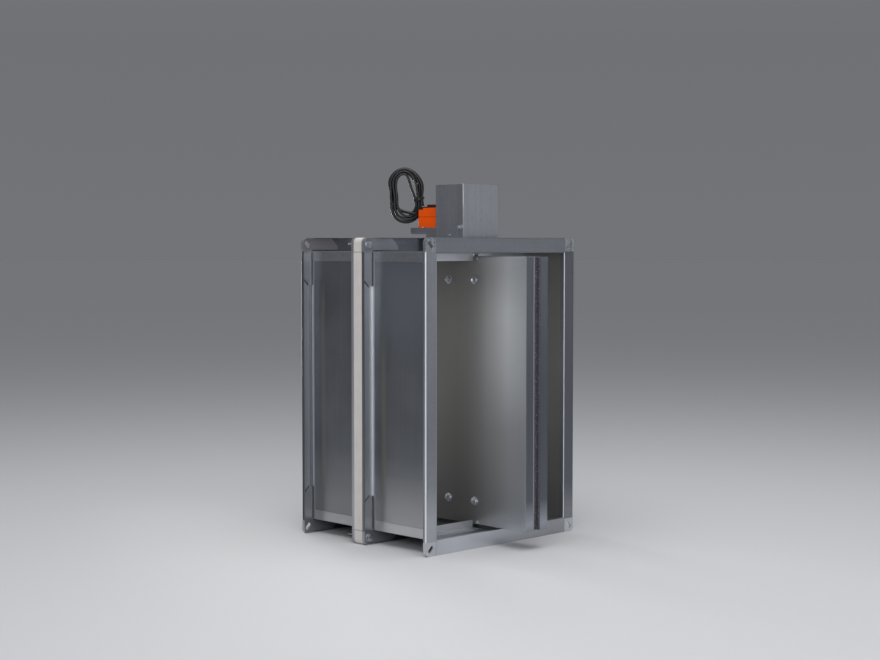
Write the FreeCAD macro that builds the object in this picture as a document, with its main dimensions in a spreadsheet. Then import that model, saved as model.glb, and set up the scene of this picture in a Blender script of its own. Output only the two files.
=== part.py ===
import FreeCAD, Part
import math
import os
import re

import Sketcher
from FreeCAD import Placement, Rotation, Vector

os.makedirs("parts", exist_ok=True)
doc = FreeCAD.newDocument("FireDamper")

# The frame: X to the right across the duct, Y into the casing along the air, Z up.
# The origin is the centre of the front duct opening, in the face of the front flange.
# At rest the blade stands open, in line with the air.

# Driving dimensions, in millimetres
SIZES = [
    ("duct_width", 400, "clear width of the duct"),
    ("duct_height", 600, "clear height of the duct"),
    ("casing_length", 400, "length over the two outer flange faces"),
    ("wall", 1.5, "casing sheet"),
    ("front_length", 198, "length of the front casing section"),
    ("board_thickness", 25, "thermal break between the two sections"),
    ("lip_height", 20, "lip of the top and bottom panels over the side panels"),
    ("lip_gap", 0.5, "from a lip's end to the flange leg"),
    ("profile_width", 30, "flange profile outside the casing sheet"),
    ("profile_gauge", 1.2, "flange profile sheet"),
    ("profile_depth", 8, "outer return of the flange profile"),
    ("outer_leg", 9, "profile leg on the outside of the casing"),
    ("inner_leg", 12, "profile leg on the inside of the duct"),
    ("fold_radius", 1.8, "outer bend of the flange profile"),
    ("fold_share", 0.9, "outer radius of a sheet's fold, in sheet thicknesses"),
    ("corner_joint", 0.2, "joint between a profile and a corner piece"),
    ("corner_gauge", 2, "corner piece sheet"),
    ("corner_radius", 11, "outer corner of the flange"),
    ("corner_leg_reach", 87, "outer edge of a corner piece's leg, from the outer corner"),
    ("corner_leg_width", 25, "width of a corner piece's leg"),
    ("corner_leg_clip", 17, "slanted end of a corner piece's leg"),
    ("slot_width", 9, "slot of a corner piece"),
    ("slot_length", 18, "slot of a corner piece, end to end"),
    ("slot_inset", 15, "slot centre from both outer edges"),
    ("bolt_diameter", 8, "bolts of the section joint and of the blade"),
    ("bolt_clearance", 0.5, "radial room of a bolt in a plain hole"),
    ("bolt_across_flats", 13, "hexagon of bolt heads and nuts"),
    ("bolt_head", 5.3, "height of a bolt head"),
    ("bolt_collar", 1.6, "collar under heads and nuts"),
    ("bolt_collar_diameter", 17, "collar under heads and nuts"),
    ("nut_height", 6.5, "height of a nut"),
    ("joint_bolt_end", 19, "thread end beyond the nut of a section joint bolt"),
    ("blade_bolt_end", 3, "thread end beyond the nut of a blade bolt"),
    ("thread_fit", 0.05, "radial room of a nut on its bolt"),
    ("axis_depth", 91, "blade axis behind the front flange face"),
    ("blade_thickness", 68, "blade over both cassettes"),
    ("cassette_depth", 24.5, "one blade cassette"),
    ("blade_skin", 1, "cassette sheet"),
    ("blade_side_gap", 9, "blade edge to side panel when closed"),
    ("blade_end_gap", 9, "blade end to top or bottom panel"),
    ("skin_radius", 1.4, "fold along a cassette's outer edges"),
    ("seal_depth", 9, "width of the seal round the centre board"),
    ("seal_inset", 1, "seal edge behind the cassette edges"),
    ("seal_groove", 5, "depth of the groove between the seal's lips"),
    ("seal_lip", 4, "thickness of one seal lip"),
    ("stop_gap", 0.5, "closed blade to stop angle"),
    ("stop_leg", 18, "stop angle leg that stands into the duct"),
    ("stop_foot", 20, "stop angle leg on the casing"),
    ("stop_sheet", 2, "stop angle sheet"),
    ("stop_end", 38, "end of a stop angle beside the blade axis"),
    ("shaft_diameter", 12, "drive shaft and idle shaft"),
    ("shaft_chamfer", 1, "chamfer at a shaft's end"),
    ("idle_shaft_end", 1, "idle shaft beyond its bush"),
    ("bearing_fit", 0.05, "radial room of a shaft in its bush"),
    ("collar_fit", 0.1, "axial room between shaft collar and bush"),
    ("collar_diameter", 22, "thrust collar of a shaft"),
    ("bush_diameter", 18, "bush outside the casing sheet"),
    ("bush_flange_diameter", 28, "bush flange inside the casing"),
    ("bush_flange", 3, "thickness of a bush flange"),
    ("bush_length", 12, "bush over its flange"),
    ("bush_fit", 0.05, "radial room of a bush in the sheet"),
    ("bracket_reach", 50, "half width of a shaft bracket"),
    ("bracket_edge", 36, "end of a shaft bracket beyond its bolts"),
    ("bracket_web", 5, "web of a shaft bracket"),
    ("bracket_rim", 6, "rim of a shaft bracket"),
    ("boss_diameter", 20, "bolt boss of a shaft bracket"),
    ("blade_bolt_spacing", 80, "blade bolts across the axis"),
    ("blade_bolt_inset", 50, "blade bolts from the blade's end"),
    ("blade_collar_diameter", 20, "collar under the heads and nuts of the blade bolts"),
    ("console_half_width", 53.8, "console over its side plates, half"),
    ("console_sheet", 2, "console sheet"),
    ("console_ahead", 21, "console front edge ahead of the blade axis"),
    ("console_leg_room", 6, "console's legs to the frame before the thermal break"),
    ("console_behind", 142, "rear end of the console plate behind the blade axis"),
    ("console_rise", 52.5, "console plate top above the casing"),
    ("console_edge", 14, "side flange of the console plate"),
    ("console_ear_height", 12, "ear above the console plate"),
    ("console_ear_length", 20, "ear along the console"),
    ("console_foot_width", 16, "foot of the console on the casing"),
    ("console_foot_behind", 37, "rear end of the console's feet behind the blade axis"),
    ("console_hole_diameter", 20, "hole of the console round the shaft"),
    ("console_radius", 6, "rounded ends of the console"),
    ("cover_width", 110, "cover box over its sides"),
    ("cover_ahead", 24.2, "cover box front ahead of the blade axis"),
    ("cover_depth", 85.4, "cover box along the air"),
    ("cover_height", 146.5, "cover box above the casing"),
    ("cover_sheet", 1, "cover box sheet"),
    ("cover_gap", 2.5, "cover box rear wall round the actuator"),
    ("cover_fold", 1.5, "fold radius of the cover box"),
    ("upper_screw_ahead", 18, "upper cover screws ahead of the blade axis"),
    ("upper_screw_rise", 52.5, "upper cover screws above the casing"),
    ("lower_screw_behind", 16.5, "lower cover screws behind the blade axis"),
    ("lower_screw_rise", 35.5, "lower cover screws above the casing"),
    ("screw_diameter", 4, "cover screws"),
    ("knob_collar_diameter", 11, "collar of the cover's knob screw"),
    ("knob_collar", 1.5, "height of the knob screw's collar"),
    ("knob_neck", 2, "neck between the knob screw's collar and knob"),
    ("knob_diameter", 7.5, "knob of the knob screw"),
    ("knob_length", 6, "knob of the knob screw"),
    ("screw_head_diameter", 6, "head of a plain cover screw"),
    ("screw_head", 2.6, "height of a plain cover screw's head"),
    ("screw_length", 7, "cover screw behind its head"),
    ("actuator_width", 84, "actuator housing"),
    ("actuator_ahead", 21.5, "actuator front end ahead of the blade axis"),
    ("actuator_behind", 134, "actuator rear end behind the blade axis"),
    ("actuator_height", 44, "actuator housing without its deck"),
    ("actuator_radius", 8, "upright edges of the actuator"),
    ("deck_width", 60, "raised deck of the actuator"),
    ("deck_ahead", 17, "front end of the raised deck ahead of the blade axis"),
    ("deck_height", 7.5, "raised deck above the housing"),
    ("deck_radius", 2.5, "upper edges of the raised deck"),
    ("crank_behind", 85, "hand crank socket behind the blade axis"),
    ("crank_across_flats", 8, "hand crank socket"),
    ("crank_bore", 6, "depth of the hand crank socket"),
    ("hub_diameter", 28, "bore of the actuator for its hub"),
    ("hub_fit", 0.05, "radial room of the hub in its bore"),
    ("hub_lift", 0.5, "hub above the console plate"),
    ("cap_tongue", 20, "cable end over the top of the actuator"),
    ("cap_rebate", 4, "rebate of the actuator for the cable end"),
    ("cap_rise", 2.5, "cable end above the actuator"),
    ("cap_plate", 6, "cable end behind the actuator"),
    ("cap_drop", 25.5, "height of the cable end's rear plate"),
    ("clamp_lift", 0.5, "shaft clamp above the actuator deck"),
    ("clamp_height", 8, "shaft clamp over the deck"),
    ("clamp_length", 36, "shaft clamp across"),
    ("clamp_width", 18, "shaft clamp along the air"),
    ("pointer_thickness", 2, "position pointer"),
    ("pointer_reach", 20, "position pointer from the shaft axis"),
    ("pointer_point", 13, "pointed end of the position pointer"),
    ("pointer_tail", 10, "position pointer behind the shaft axis"),
    ("pointer_width", 20, "position pointer across"),
    ("shaft_end", 4, "drive shaft above the pointer"),
    ("trip_x", 40, "tripping device beside the shaft axis"),
    ("trip_behind", 43, "tripping device front behind the blade axis"),
    ("trip_length", 38, "tripping device along the air"),
    ("trip_width", 23, "tripping device across"),
    ("trip_height", 43.5, "tripping device above the casing"),
    ("trip_radius", 2.5, "upright edges of the tripping device"),
    ("probe_behind", 62, "temperature probe behind the blade axis"),
    ("probe_diameter", 6, "temperature probe"),
    ("probe_reach", 40, "temperature probe below the casing top"),
    ("plug_behind", 52.5, "plug behind the blade axis"),
    ("plug_diameter", 10, "plug from the tripping device to the actuator"),
    ("button_diameter", 8, "test button"),
    ("button_rise", 36, "test button above the casing"),
    ("button_fit", 0.1, "radial room of the test button"),
    ("button_bore", 6, "depth of the test button's bore"),
    ("button_room", 2.4, "room behind the test button"),
    ("button_length", 6.4, "test button"),
    ("gland_diameter", 11, "cable gland at the actuator"),
    ("gland_tip_diameter", 9, "rear end of a cable gland"),
    ("gland_length", 8, "cable gland behind the cable end"),
    ("gland_rise", 31, "cable glands above the console plate"),
    ("supply_x", -24, "supply cable beside the shaft axis"),
    ("signal_x", -9, "signal cable beside the shaft axis"),
    ("supply_diameter", 5.6, "supply cable"),
    ("signal_diameter", 6.4, "signal cable"),
    ("hank_gap", 1, "near edge of the cable hank behind the glands"),
    ("hank_x", -2, "near edge of the cable hank beside the shaft axis"),
    ("hank_turn", 44.35, "hank plane, turned from the duct's cross direction"),
    ("hank_top_aside", 46, "upper bend of the hank, centre from the near edge"),
    ("hank_top_rise", 78, "upper bend of the hank, centre above the glands"),
    ("hank_top_radius", 17, "upper bend of the hank"),
    ("hank_bottom_aside", 43, "lower bend of the hank, centre from the near edge"),
    ("hank_bottom_rise", 21, "lower bend of the hank, centre above the glands"),
    ("hank_bottom_radius", 31, "lower bend of the hank"),
    ("hank_diameter", 23, "bundle of turns in the hank"),
    ("lead_into_hank", 16, "straight stretch of a cable up to the hank's middle"),
    ("tie_drop", 52, "tie below the upper end of the hank's near side"),
    ("tie_width", 4.8, "cable tie"),
    ("tie_thickness", 1.2, "cable tie"),
    ("tie_room", 0.3, "radial room of the cable tie"),
]

sheet = doc.addObject("Spreadsheet::Sheet", "Sizes")
for row, (alias, value, meaning) in enumerate(SIZES, start=1):
    sheet.set(f"A{row}", meaning)
    sheet.set(f"B{row}", str(value))
    sheet.setAlias(f"B{row}", alias)
doc.recompute()

ALIASES = re.compile(r"\b(" + "|".join(alias for alias, value, meaning in SIZES) + r")\b")


def bound(formula):
    """The formula with its size names pointed at the spreadsheet."""
    return ALIASES.sub(r"Sizes.\1", str(formula))


def number(formula):
    """What the formula is worth now."""
    return float(sheet.evalExpression(bound(formula)))


# Places that several pieces share, as formulas
HALF_WIDTH = "(duct_width / 2)"
HALF_HEIGHT = "(duct_height / 2)"
OUTSIDE_X = "(duct_width / 2 + wall)"
CASING_TOP = "(duct_height / 2 + wall)"
FLANGE_X = "(duct_width / 2 + wall + profile_width)"
FLANGE_Z = "(duct_height / 2 + wall + profile_width)"
BREAK_FRONT = "front_length"
BREAK_REAR = "(front_length + board_thickness)"
SLOT_X = "(duct_width / 2 + wall + profile_width - slot_inset)"
SLOT_Z = "(duct_height / 2 + wall + profile_width - slot_inset)"
CORNER_PLATE = "(profile_gauge + corner_gauge)"

BLADE_HALF_CHORD = "(duct_width / 2 - blade_side_gap)"
BLADE_HALF_HEIGHT = "(duct_height / 2 - blade_end_gap)"
BLADE_FACE = "(blade_thickness / 2)"
CENTRE_FACE = "(blade_thickness / 2 - cassette_depth)"
BLADE_FRONT = f"(axis_depth - {BLADE_HALF_CHORD})"
BLADE_REAR = f"(axis_depth + {BLADE_HALF_CHORD})"
SEAL_OUT = "seal_inset"
SEAL_IN = "(seal_inset + seal_depth)"
BRACKET_TOP = f"({BLADE_HALF_HEIGHT} - {SEAL_IN})"
BLADE_BOLT_Z = f"({BLADE_HALF_HEIGHT} - blade_bolt_inset)"
BRACKET_BOTTOM = f"({BLADE_BOLT_Z} - bracket_edge)"
BOLT_HOLE = "(bolt_diameter / 2 + bolt_clearance)"

CONSOLE_FRONT = "(axis_depth - console_ahead)"
CONSOLE_LEG_END = "(front_length - profile_depth - console_leg_room)"
CONSOLE_END = "(axis_depth + console_behind)"
CONSOLE_FOOT_END = "(axis_depth + console_foot_behind)"
COVER_FRONT = "(axis_depth - cover_ahead)"
UPPER_SCREW_DEPTH = "(axis_depth - upper_screw_ahead)"
LOWER_SCREW_DEPTH = "(axis_depth + lower_screw_behind)"
ACTUATOR_FRONT = "(axis_depth - actuator_ahead)"
ACTUATOR_END = "(axis_depth + actuator_behind)"
DECK_FRONT = "(axis_depth - deck_ahead)"
CRANK_DEPTH = "(axis_depth + crank_behind)"
TRIP_FRONT = "(axis_depth + trip_behind)"
PROBE_DEPTH = "(axis_depth + probe_behind)"
PLUG_DEPTH = "(axis_depth + plug_behind)"

PLATE_TOP = f"({CASING_TOP} + console_rise)"
ACTUATOR_TOP = f"({PLATE_TOP} + actuator_height)"
DECK_TOP = f"({ACTUATOR_TOP} + deck_height)"
CLAMP_BOTTOM = f"({DECK_TOP} + clamp_lift)"
CLAMP_TOP = f"({CLAMP_BOTTOM} + clamp_height)"
POINTER_TOP = f"({CLAMP_TOP} + pointer_thickness)"
COVER_REAR = f"({COVER_FRONT} + cover_depth)"
COVER_TOP = f"({CASING_TOP} + cover_height)"
TRIP_END = f"({TRIP_FRONT} + trip_length)"

pieces = []


def keep(label, piece):
    """Name a finished sub-part and list it for the hand-over."""
    piece.Label = label
    pieces.append(piece)
    return piece


# Sketches and features

NORMALS = {"XY_Plane": 1, "XZ_Plane": -1, "YZ_Plane": 1}


def new_body(name):
    return doc.addObject("PartDesign::Body", name)


def new_sketch(body, plane, distance):
    """A sketch parallel to one of the body's own planes, at a distance along +X, +Y or +Z."""
    sketch = body.newObject("Sketcher::SketchObject", "Outline")
    support = next(item for item in body.Origin.OriginFeatures if item.Role == plane)
    sketch.AttachmentSupport = [(support, "")]
    sketch.MapMode = "FlatFace"
    sketch.setExpression(".AttachmentOffset.Base.z", bound(f"{NORMALS[plane]} * ({distance})"))
    return sketch


def fix_point(sketch, geometry, point, place):
    """Hold a point of the sketch at a pair of formulas."""
    for kind, formula in zip(("DistanceX", "DistanceY"), place):
        held = Sketcher.Constraint(kind, -1, 1, geometry, point, number(formula))
        index = sketch.addConstraint(held)
        sketch.setExpression(f"Constraints[{index}]", bound(formula))


def draw_polygon(sketch, corners):
    points = [Vector(number(x), number(y), 0) for x, y in corners]
    first = sketch.GeometryCount
    count = len(points)
    for index, point in enumerate(points):
        sketch.addGeometry(Part.LineSegment(point, points[(index + 1) % count]), False)
    for index in range(count):
        following = first + (index + 1) % count
        sketch.addConstraint(Sketcher.Constraint("Coincident", first + index, 2, following, 1))
    for index, corner in enumerate(corners):
        fix_point(sketch, first + index, 1, corner)


def draw_circle(sketch, centre, radius):
    middle = Vector(number(centre[0]), number(centre[1]), 0)
    circle = Part.Circle(middle, Vector(0, 0, 1), number(radius))
    geometry = sketch.addGeometry(circle, False)
    fix_point(sketch, geometry, 3, centre)
    held = sketch.addConstraint(Sketcher.Constraint("Radius", geometry, number(radius)))
    sketch.setExpression(f"Constraints[{held}]", bound(radius))


def draw_rounded_square(sketch, low, high, radius):
    """A rectangle whose high corner is a quarter circle."""
    corners = [
        low,
        (high[0], low[1]),
        (high[0], f"({high[1]}) - ({radius})"),
        (f"({high[0]}) - ({radius})", high[1]),
        (low[0], high[1]),
    ]
    points = [Vector(number(x), number(y), 0) for x, y in corners]
    middle = Vector(points[3].x, points[2].y, 0)
    arc = Part.ArcOfCircle(Part.Circle(middle, Vector(0, 0, 1), number(radius)), 0, math.pi / 2)
    for index, point in enumerate(points):
        side = arc if index == 2 else Part.LineSegment(point, points[(index + 1) % 5])
        sketch.addGeometry(side, False)
    for index, corner in enumerate(corners):
        sketch.addConstraint(Sketcher.Constraint("Coincident", index, 2, (index + 1) % 5, 1))
        fix_point(sketch, index, 1, corner)
    held = sketch.addConstraint(Sketcher.Constraint("Radius", 2, number(radius)))
    sketch.setExpression(f"Constraints[{held}]", bound(radius))


def extrude(body, plane, start, end, drawings, cut=False):
    """Add, or cut, what the drawings outline, from start to end along the plane's normal axis."""
    doc.recompute()
    before = body.Shape.Volume if body.Tip else 0
    sketch = new_sketch(body, plane, start)
    for draw, *sizes in drawings:
        draw(sketch, *sizes)
    feature = body.newObject("PartDesign::Pocket" if cut else "PartDesign::Pad", "Cut" if cut else "Pad")
    feature.Profile = sketch
    feature.setExpression("Length", bound(f"({end}) - ({start})"))
    feature.Reversed = (NORMALS[plane] > 0) == cut
    doc.recompute()
    change = body.Shape.Volume - before
    if (change >= 0) if cut else (change <= 0):
        raise ValueError(f"{body.Name}: a {feature.Name} changes nothing")
    return feature


def rectangle(x_low, y_low, x_high, y_high):
    return [(x_low, y_low), (x_high, y_low), (x_high, y_high), (x_low, y_high)]


def block(body, low, high, cut=False):
    """Add, or cut, a block between two corners."""
    outline = rectangle(low[0], low[1], high[0], high[1])
    return extrude(body, "XY_Plane", low[2], high[2], [(draw_polygon, outline)], cut)


def edges_along(shape, axis, places):
    """Names of the straight edges along an axis that pass through one of the places."""
    direction = "XYZ".index(axis)
    others = [index for index in range(3) if index != direction]
    wanted = [[number(formula) for formula in place] for place in places]
    found = []
    for index, edge in enumerate(shape.Edges, start=1):
        start, end = edge.Vertexes[0].Point, edge.Vertexes[-1].Point
        straight = all(abs(start[other] - end[other]) < 1e-4 for other in others)
        if not straight or abs(start[direction] - end[direction]) < 1e-4:
            continue
        if any(all(abs(start[o] - w) < 1e-3 for o, w in zip(others, place)) for place in wanted):
            found.append(f"Edge{index}")
    return found


def round_edges(body, radius, choices):
    """Round the straight edges that the choices name: an axis and the places it is met at."""
    base = body.Tip
    names = [name for axis, places in choices for name in edges_along(base.Shape, axis, places)]
    if not names:
        raise ValueError(f"{body.Name}: no edge to round")
    fillet = body.newObject("PartDesign::Fillet", "Round")
    fillet.Base = (base, names)
    fillet.setExpression("Radius", bound(radius))
    doc.recompute()
    return fillet


def mirrored(source, normal):
    copy = doc.addObject("Part::Mirroring", source.Name + "Mirror")
    copy.Source = source
    copy.Normal = normal
    return copy


def group(label, members):
    """Separate solids that share one name."""
    together = doc.addObject("Part::Compound", "Group")
    together.Links = members
    return keep(label, together)


def four_corners(label, source):
    """The source and its three mirror images across the upright and the level middle planes."""
    right_left = mirrored(source, Vector(1, 0, 0))
    return group(label, [
        source,
        right_left,
        mirrored(source, Vector(0, 0, 1)),
        mirrored(right_left, Vector(0, 0, 1)),
    ])


def place(piece, base, rotation=Rotation()):
    """Turn a piece and bind its position to three formulas."""
    piece.Placement = Placement(Vector(*(number(formula) for formula in base)), rotation)
    for axis, formula in zip("xyz", base):
        piece.setExpression(f".Placement.Base.{axis}", bound(formula))


# Casing panels

SECTIONS = {
    "front": ("0", BREAK_FRONT),
    "rear": (BREAK_REAR, "casing_length"),
}


def side_panel(section, side):
    """A flat sheet between the top and the bottom panel."""
    start, end = SECTIONS[section]
    body = new_body(f"{section}_{side}")
    sign = -1 if side == "left" else 1
    near, far = f"{sign} * {HALF_WIDTH}", f"{sign} * {OUTSIDE_X}"
    low, high = sorted((near, far), key=number)
    block(
        body,
        (low, f"{start} + profile_gauge", f"-{HALF_HEIGHT}"),
        (high, f"{end} - profile_gauge", HALF_HEIGHT),
    )
    return keep(f"casing_{section}_{side}", body)


def lipped_panel(section, side):
    """The top or bottom sheet, with lips folded over the outside of the side panels."""
    start, end = SECTIONS[section]
    body = new_body(f"{section}_{side}")
    block(
        body,
        (f"-{OUTSIDE_X}", f"{start} + profile_gauge", HALF_HEIGHT),
        (OUTSIDE_X, f"{end} - profile_gauge", CASING_TOP),
    )
    lip_start = f"{start} + outer_leg + lip_gap"
    lip_end = f"{end} - outer_leg - lip_gap"
    for low, high in ((OUTSIDE_X, f"{OUTSIDE_X} + wall"), (f"-{OUTSIDE_X} - wall", f"-{OUTSIDE_X}")):
        block(
            body,
            (low, lip_start, f"{HALF_HEIGHT} - lip_height"),
            (high, lip_end, CASING_TOP),
        )
    folds = [(f"{OUTSIDE_X} + wall", CASING_TOP), (f"-{OUTSIDE_X} - wall", CASING_TOP)]
    round_edges(body, "wall * fold_share", [("Y", folds)])
    if section == "front":
        hole = (draw_circle, ("0", "axis_depth"), "bush_diameter / 2 + bush_fit")
        extrude(body, "XY_Plane", HALF_HEIGHT, CASING_TOP, [hole], cut=True)
    if section == "front" and side == "top":
        hole = (draw_circle, ("trip_x", PROBE_DEPTH), "probe_diameter / 2 + bush_fit")
        extrude(body, "XY_Plane", HALF_HEIGHT, CASING_TOP, [hole], cut=True)
    if side == "bottom":
        place(body, ("0", "0", "0"), Rotation(Vector(0, 1, 0), 180))
    return keep(f"casing_{section}_{side}", body)


for section in SECTIONS:
    for side in ("top", "bottom"):
        lipped_panel(section, side)
    for side in ("left", "right"):
        side_panel(section, side)


# Flange frames
# Each frame has four rolled profiles and four pressed corner pieces. A profile has an outer
# return, a face and two legs that grip the casing sheet.

FRAMES = {
    "inlet": ("0", False),
    "break_front": (BREAK_FRONT, True),
    "break_rear": (BREAK_REAR, False),
    "outlet": ("casing_length", True),
}
TURNS = {"top": 0, "right": 90, "bottom": 180, "left": -90}


def frame_rotation(side, flipped):
    half_turn = Rotation(Vector(0, 0, 1), 180 if flipped else 0)
    return Rotation(Vector(0, 1, 0), TURNS[side]).multiply(half_turn)


def flange_profile(frame, side):
    """A profile drawn as the top one, with the casing behind its face, and turned to its side."""
    face, flipped = FRAMES[frame]
    level = side in ("top", "bottom")
    opening = HALF_HEIGHT if level else HALF_WIDTH
    across = HALF_WIDTH if level else HALF_HEIGHT
    sheet_out = f"({opening} + wall)"
    edge = f"({opening} + wall + profile_width)"
    body = new_body(f"{frame}_{side}")
    half_length = f"({across} + wall - corner_joint)"
    section = [
        ("0", f"{sheet_out} + corner_joint"),
        ("0", edge),
        ("profile_depth", edge),
        ("profile_depth", f"{edge} - profile_gauge"),
        ("profile_gauge", f"{edge} - profile_gauge"),
        ("profile_gauge", f"{sheet_out} + profile_gauge"),
        ("outer_leg", f"{sheet_out} + profile_gauge"),
        ("outer_leg", sheet_out),
        ("profile_gauge", sheet_out),
        ("profile_gauge", f"{sheet_out} + corner_joint"),
    ]
    extrude(body, "YZ_Plane", f"-{half_length}", half_length, [(draw_polygon, section)])
    inner_half = across if level else f"({across} - profile_gauge)"
    inner_section = [
        ("0", f"{opening} - profile_gauge"),
        ("0", f"{sheet_out} + corner_joint"),
        ("profile_gauge", f"{sheet_out} + corner_joint"),
        ("profile_gauge", opening),
        ("inner_leg", opening),
        ("inner_leg", f"{opening} - profile_gauge"),
    ]
    extrude(body, "YZ_Plane", f"-{inner_half}", inner_half, [(draw_polygon, inner_section)])
    round_edges(body, "fold_radius", [("X", [("0", edge)])])
    round_edges(body, "profile_gauge * fold_share", [("X", [("0", f"{opening} - profile_gauge")])])
    place(body, ("0", face, "0"), frame_rotation(side, flipped))
    return body


def draw_slot(sketch, centre, half_run, radius):
    """A round-ended slot on the diagonal, its end centres half_run away in both directions."""
    x, y = centre
    ends = [(f"{x} - {half_run}", f"{y} - {half_run}"), (f"{x} + {half_run}", f"{y} + {half_run}")]
    low, high = (Vector(number(a), number(b), 0) for a, b in ends)
    size = number(radius)
    aside = Vector(1, -1, 0).normalize() * size
    upward = Vector(0, 0, 1)
    quarter = math.pi / 4
    first_arc = Part.ArcOfCircle(Part.Circle(low, upward, size), 3 * quarter, 7 * quarter)
    second_arc = Part.ArcOfCircle(Part.Circle(high, upward, size), -quarter, 3 * quarter)
    first = sketch.addGeometry(first_arc, False)
    right = sketch.addGeometry(Part.LineSegment(low + aside, high + aside), False)
    second = sketch.addGeometry(second_arc, False)
    left = sketch.addGeometry(Part.LineSegment(high - aside, low - aside), False)
    sides = [first, right, second, left]
    for side, following in zip(sides, sides[1:] + sides[:1]):
        sketch.addConstraint(Sketcher.Constraint("Tangent", side, 2, following, 1))
    fix_point(sketch, first, 3, ends[0])
    fix_point(sketch, second, 3, ends[1])
    held = sketch.addConstraint(Sketcher.Constraint("Radius", first, size))
    sketch.setExpression(f"Constraints[{held}]", bound(radius))


def corner_piece(frame):
    """The upper right corner piece: a rimmed square with a slot and two legs in the profiles."""
    face, flipped = FRAMES[frame]
    body = new_body(f"{frame}_corner")
    low, high = (OUTSIDE_X, CASING_TOP), (FLANGE_X, FLANGE_Z)
    square = (draw_rounded_square, low, high, "corner_radius")
    extrude(body, "XZ_Plane", "0", "profile_depth", [square])
    inside = tuple(f"({edge} - corner_gauge)" for edge in high)
    hollow = (draw_rounded_square, low, inside, "(corner_radius - corner_gauge)")
    extrude(body, "XZ_Plane", CORNER_PLATE, "profile_depth", [hollow], cut=True)
    outer = "(profile_gauge + corner_joint)"
    for along, square_start, outer_x, outer_z in (
        ("X", OUTSIDE_X, FLANGE_X, FLANGE_Z),
        ("Z", CASING_TOP, FLANGE_Z, FLANGE_X),
    ):
        edge = f"({outer_z} - {outer})"
        inner = f"({outer_z} - {outer} - corner_leg_width)"
        leg = [
            (square_start, edge),
            (f"{outer_x} - corner_leg_reach", edge),
            (f"{outer_x} - corner_leg_reach - corner_leg_clip", f"{edge} - corner_leg_clip"),
            (f"{outer_x} - corner_leg_reach - corner_leg_clip", inner),
            (square_start, inner),
        ]
        if along == "Z":
            leg = [(second, first) for first, second in leg]
        extrude(body, "XZ_Plane", "profile_gauge", CORNER_PLATE, [(draw_polygon, leg)])
    half_run = "((slot_length - slot_width) / 2 * cos(45))"
    slot = (draw_slot, (SLOT_X, SLOT_Z), half_run, "slot_width / 2")
    extrude(body, "XZ_Plane", "0", CORNER_PLATE, [slot], cut=True)
    turn = Rotation(Vector(0, 0, 1), 180 if flipped else 0)
    place(body, ("0", face, "0"), turn)
    return body


for frame in FRAMES:
    profiles = {side: flange_profile(frame, side) for side in TURNS}
    if frame in ("inlet", "outlet"):
        for side, profile in profiles.items():
            keep(f"flange_{frame}_{side}", profile)
    else:
        group(f"flange_{frame}_levels", [profiles["top"], profiles["bottom"]])
        group(f"flange_{frame}_uprights", [profiles["left"], profiles["right"]])
    four_corners(f"corners_{frame}", corner_piece(frame))


# Thermal break board
# Four strips lie round the opening like a pinwheel: each covers one outer corner.

def board_strip(side, outline, corner, hole):
    body = new_body(f"board_{side}")
    extrude(body, "XZ_Plane", BREAK_FRONT, BREAK_REAR, [(draw_polygon, outline)])
    round_edges(body, "corner_radius", [("Y", [corner])])
    bore = (draw_circle, hole, BOLT_HOLE)
    extrude(body, "XZ_Plane", BREAK_FRONT, BREAK_REAR, [bore], cut=True)
    keep(f"break_board_{side}", body)


upright = rectangle(f"-{FLANGE_X}", f"-{FLANGE_Z}", f"-{HALF_WIDTH}", HALF_HEIGHT)
across = rectangle(f"-{FLANGE_X}", HALF_HEIGHT, HALF_WIDTH, FLANGE_Z)
board_strip("left", upright, (f"-{FLANGE_X}", f"-{FLANGE_Z}"), (f"-{SLOT_X}", f"-{SLOT_Z}"))
board_strip("top", across, (f"-{FLANGE_X}", FLANGE_Z), (f"-{SLOT_X}", SLOT_Z))
upright = rectangle(HALF_WIDTH, f"-{HALF_HEIGHT}", FLANGE_X, FLANGE_Z)
across = rectangle(f"-{HALF_WIDTH}", f"-{FLANGE_Z}", FLANGE_X, f"-{HALF_HEIGHT}")
board_strip("right", upright, (FLANGE_X, FLANGE_Z), (SLOT_X, SLOT_Z))
board_strip("bottom", across, (FLANGE_X, f"-{FLANGE_Z}"), (SLOT_X, f"-{SLOT_Z}"))


# Round and hexagonal pieces

AXIS_TURNS = {
    "X": Rotation(Vector(0, 1, 0), 90),
    "Y": Rotation(Vector(1, 0, 0), -90),
    "Z": Rotation(),
}


def on_axis(axis, centre, start):
    """A point given by where an axis runs and how far along it."""
    if axis == "X":
        return (start, centre[0], centre[1])
    if axis == "Y":
        return (centre[0], start, centre[1])
    return (centre[0], centre[1], start)


def cylinder(axis, centre, start, end, radius):
    piece = doc.addObject("Part::Cylinder", "Round")
    piece.setExpression("Radius", bound(radius))
    piece.setExpression("Height", bound(f"({end}) - ({start})"))
    place(piece, on_axis(axis, centre, start), AXIS_TURNS[axis])
    return piece


def hexagon(axis, centre, start, end, across_flats):
    piece = doc.addObject("Part::Prism", "Hexagon")
    piece.Polygon = 6
    piece.setExpression("Circumradius", bound(f"{across_flats} / sqrt(3)"))
    piece.setExpression("Height", bound(f"({end}) - ({start})"))
    place(piece, on_axis(axis, centre, start), AXIS_TURNS[axis])
    return piece


def fused(name, members):
    whole = doc.addObject("Part::MultiFuse", name)
    whole.Shapes = members
    whole.Refine = True
    return whole


def cut_from(name, base, tool):
    remainder = doc.addObject("Part::Cut", name)
    remainder.Base = base
    remainder.Tool = tool
    return remainder


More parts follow.
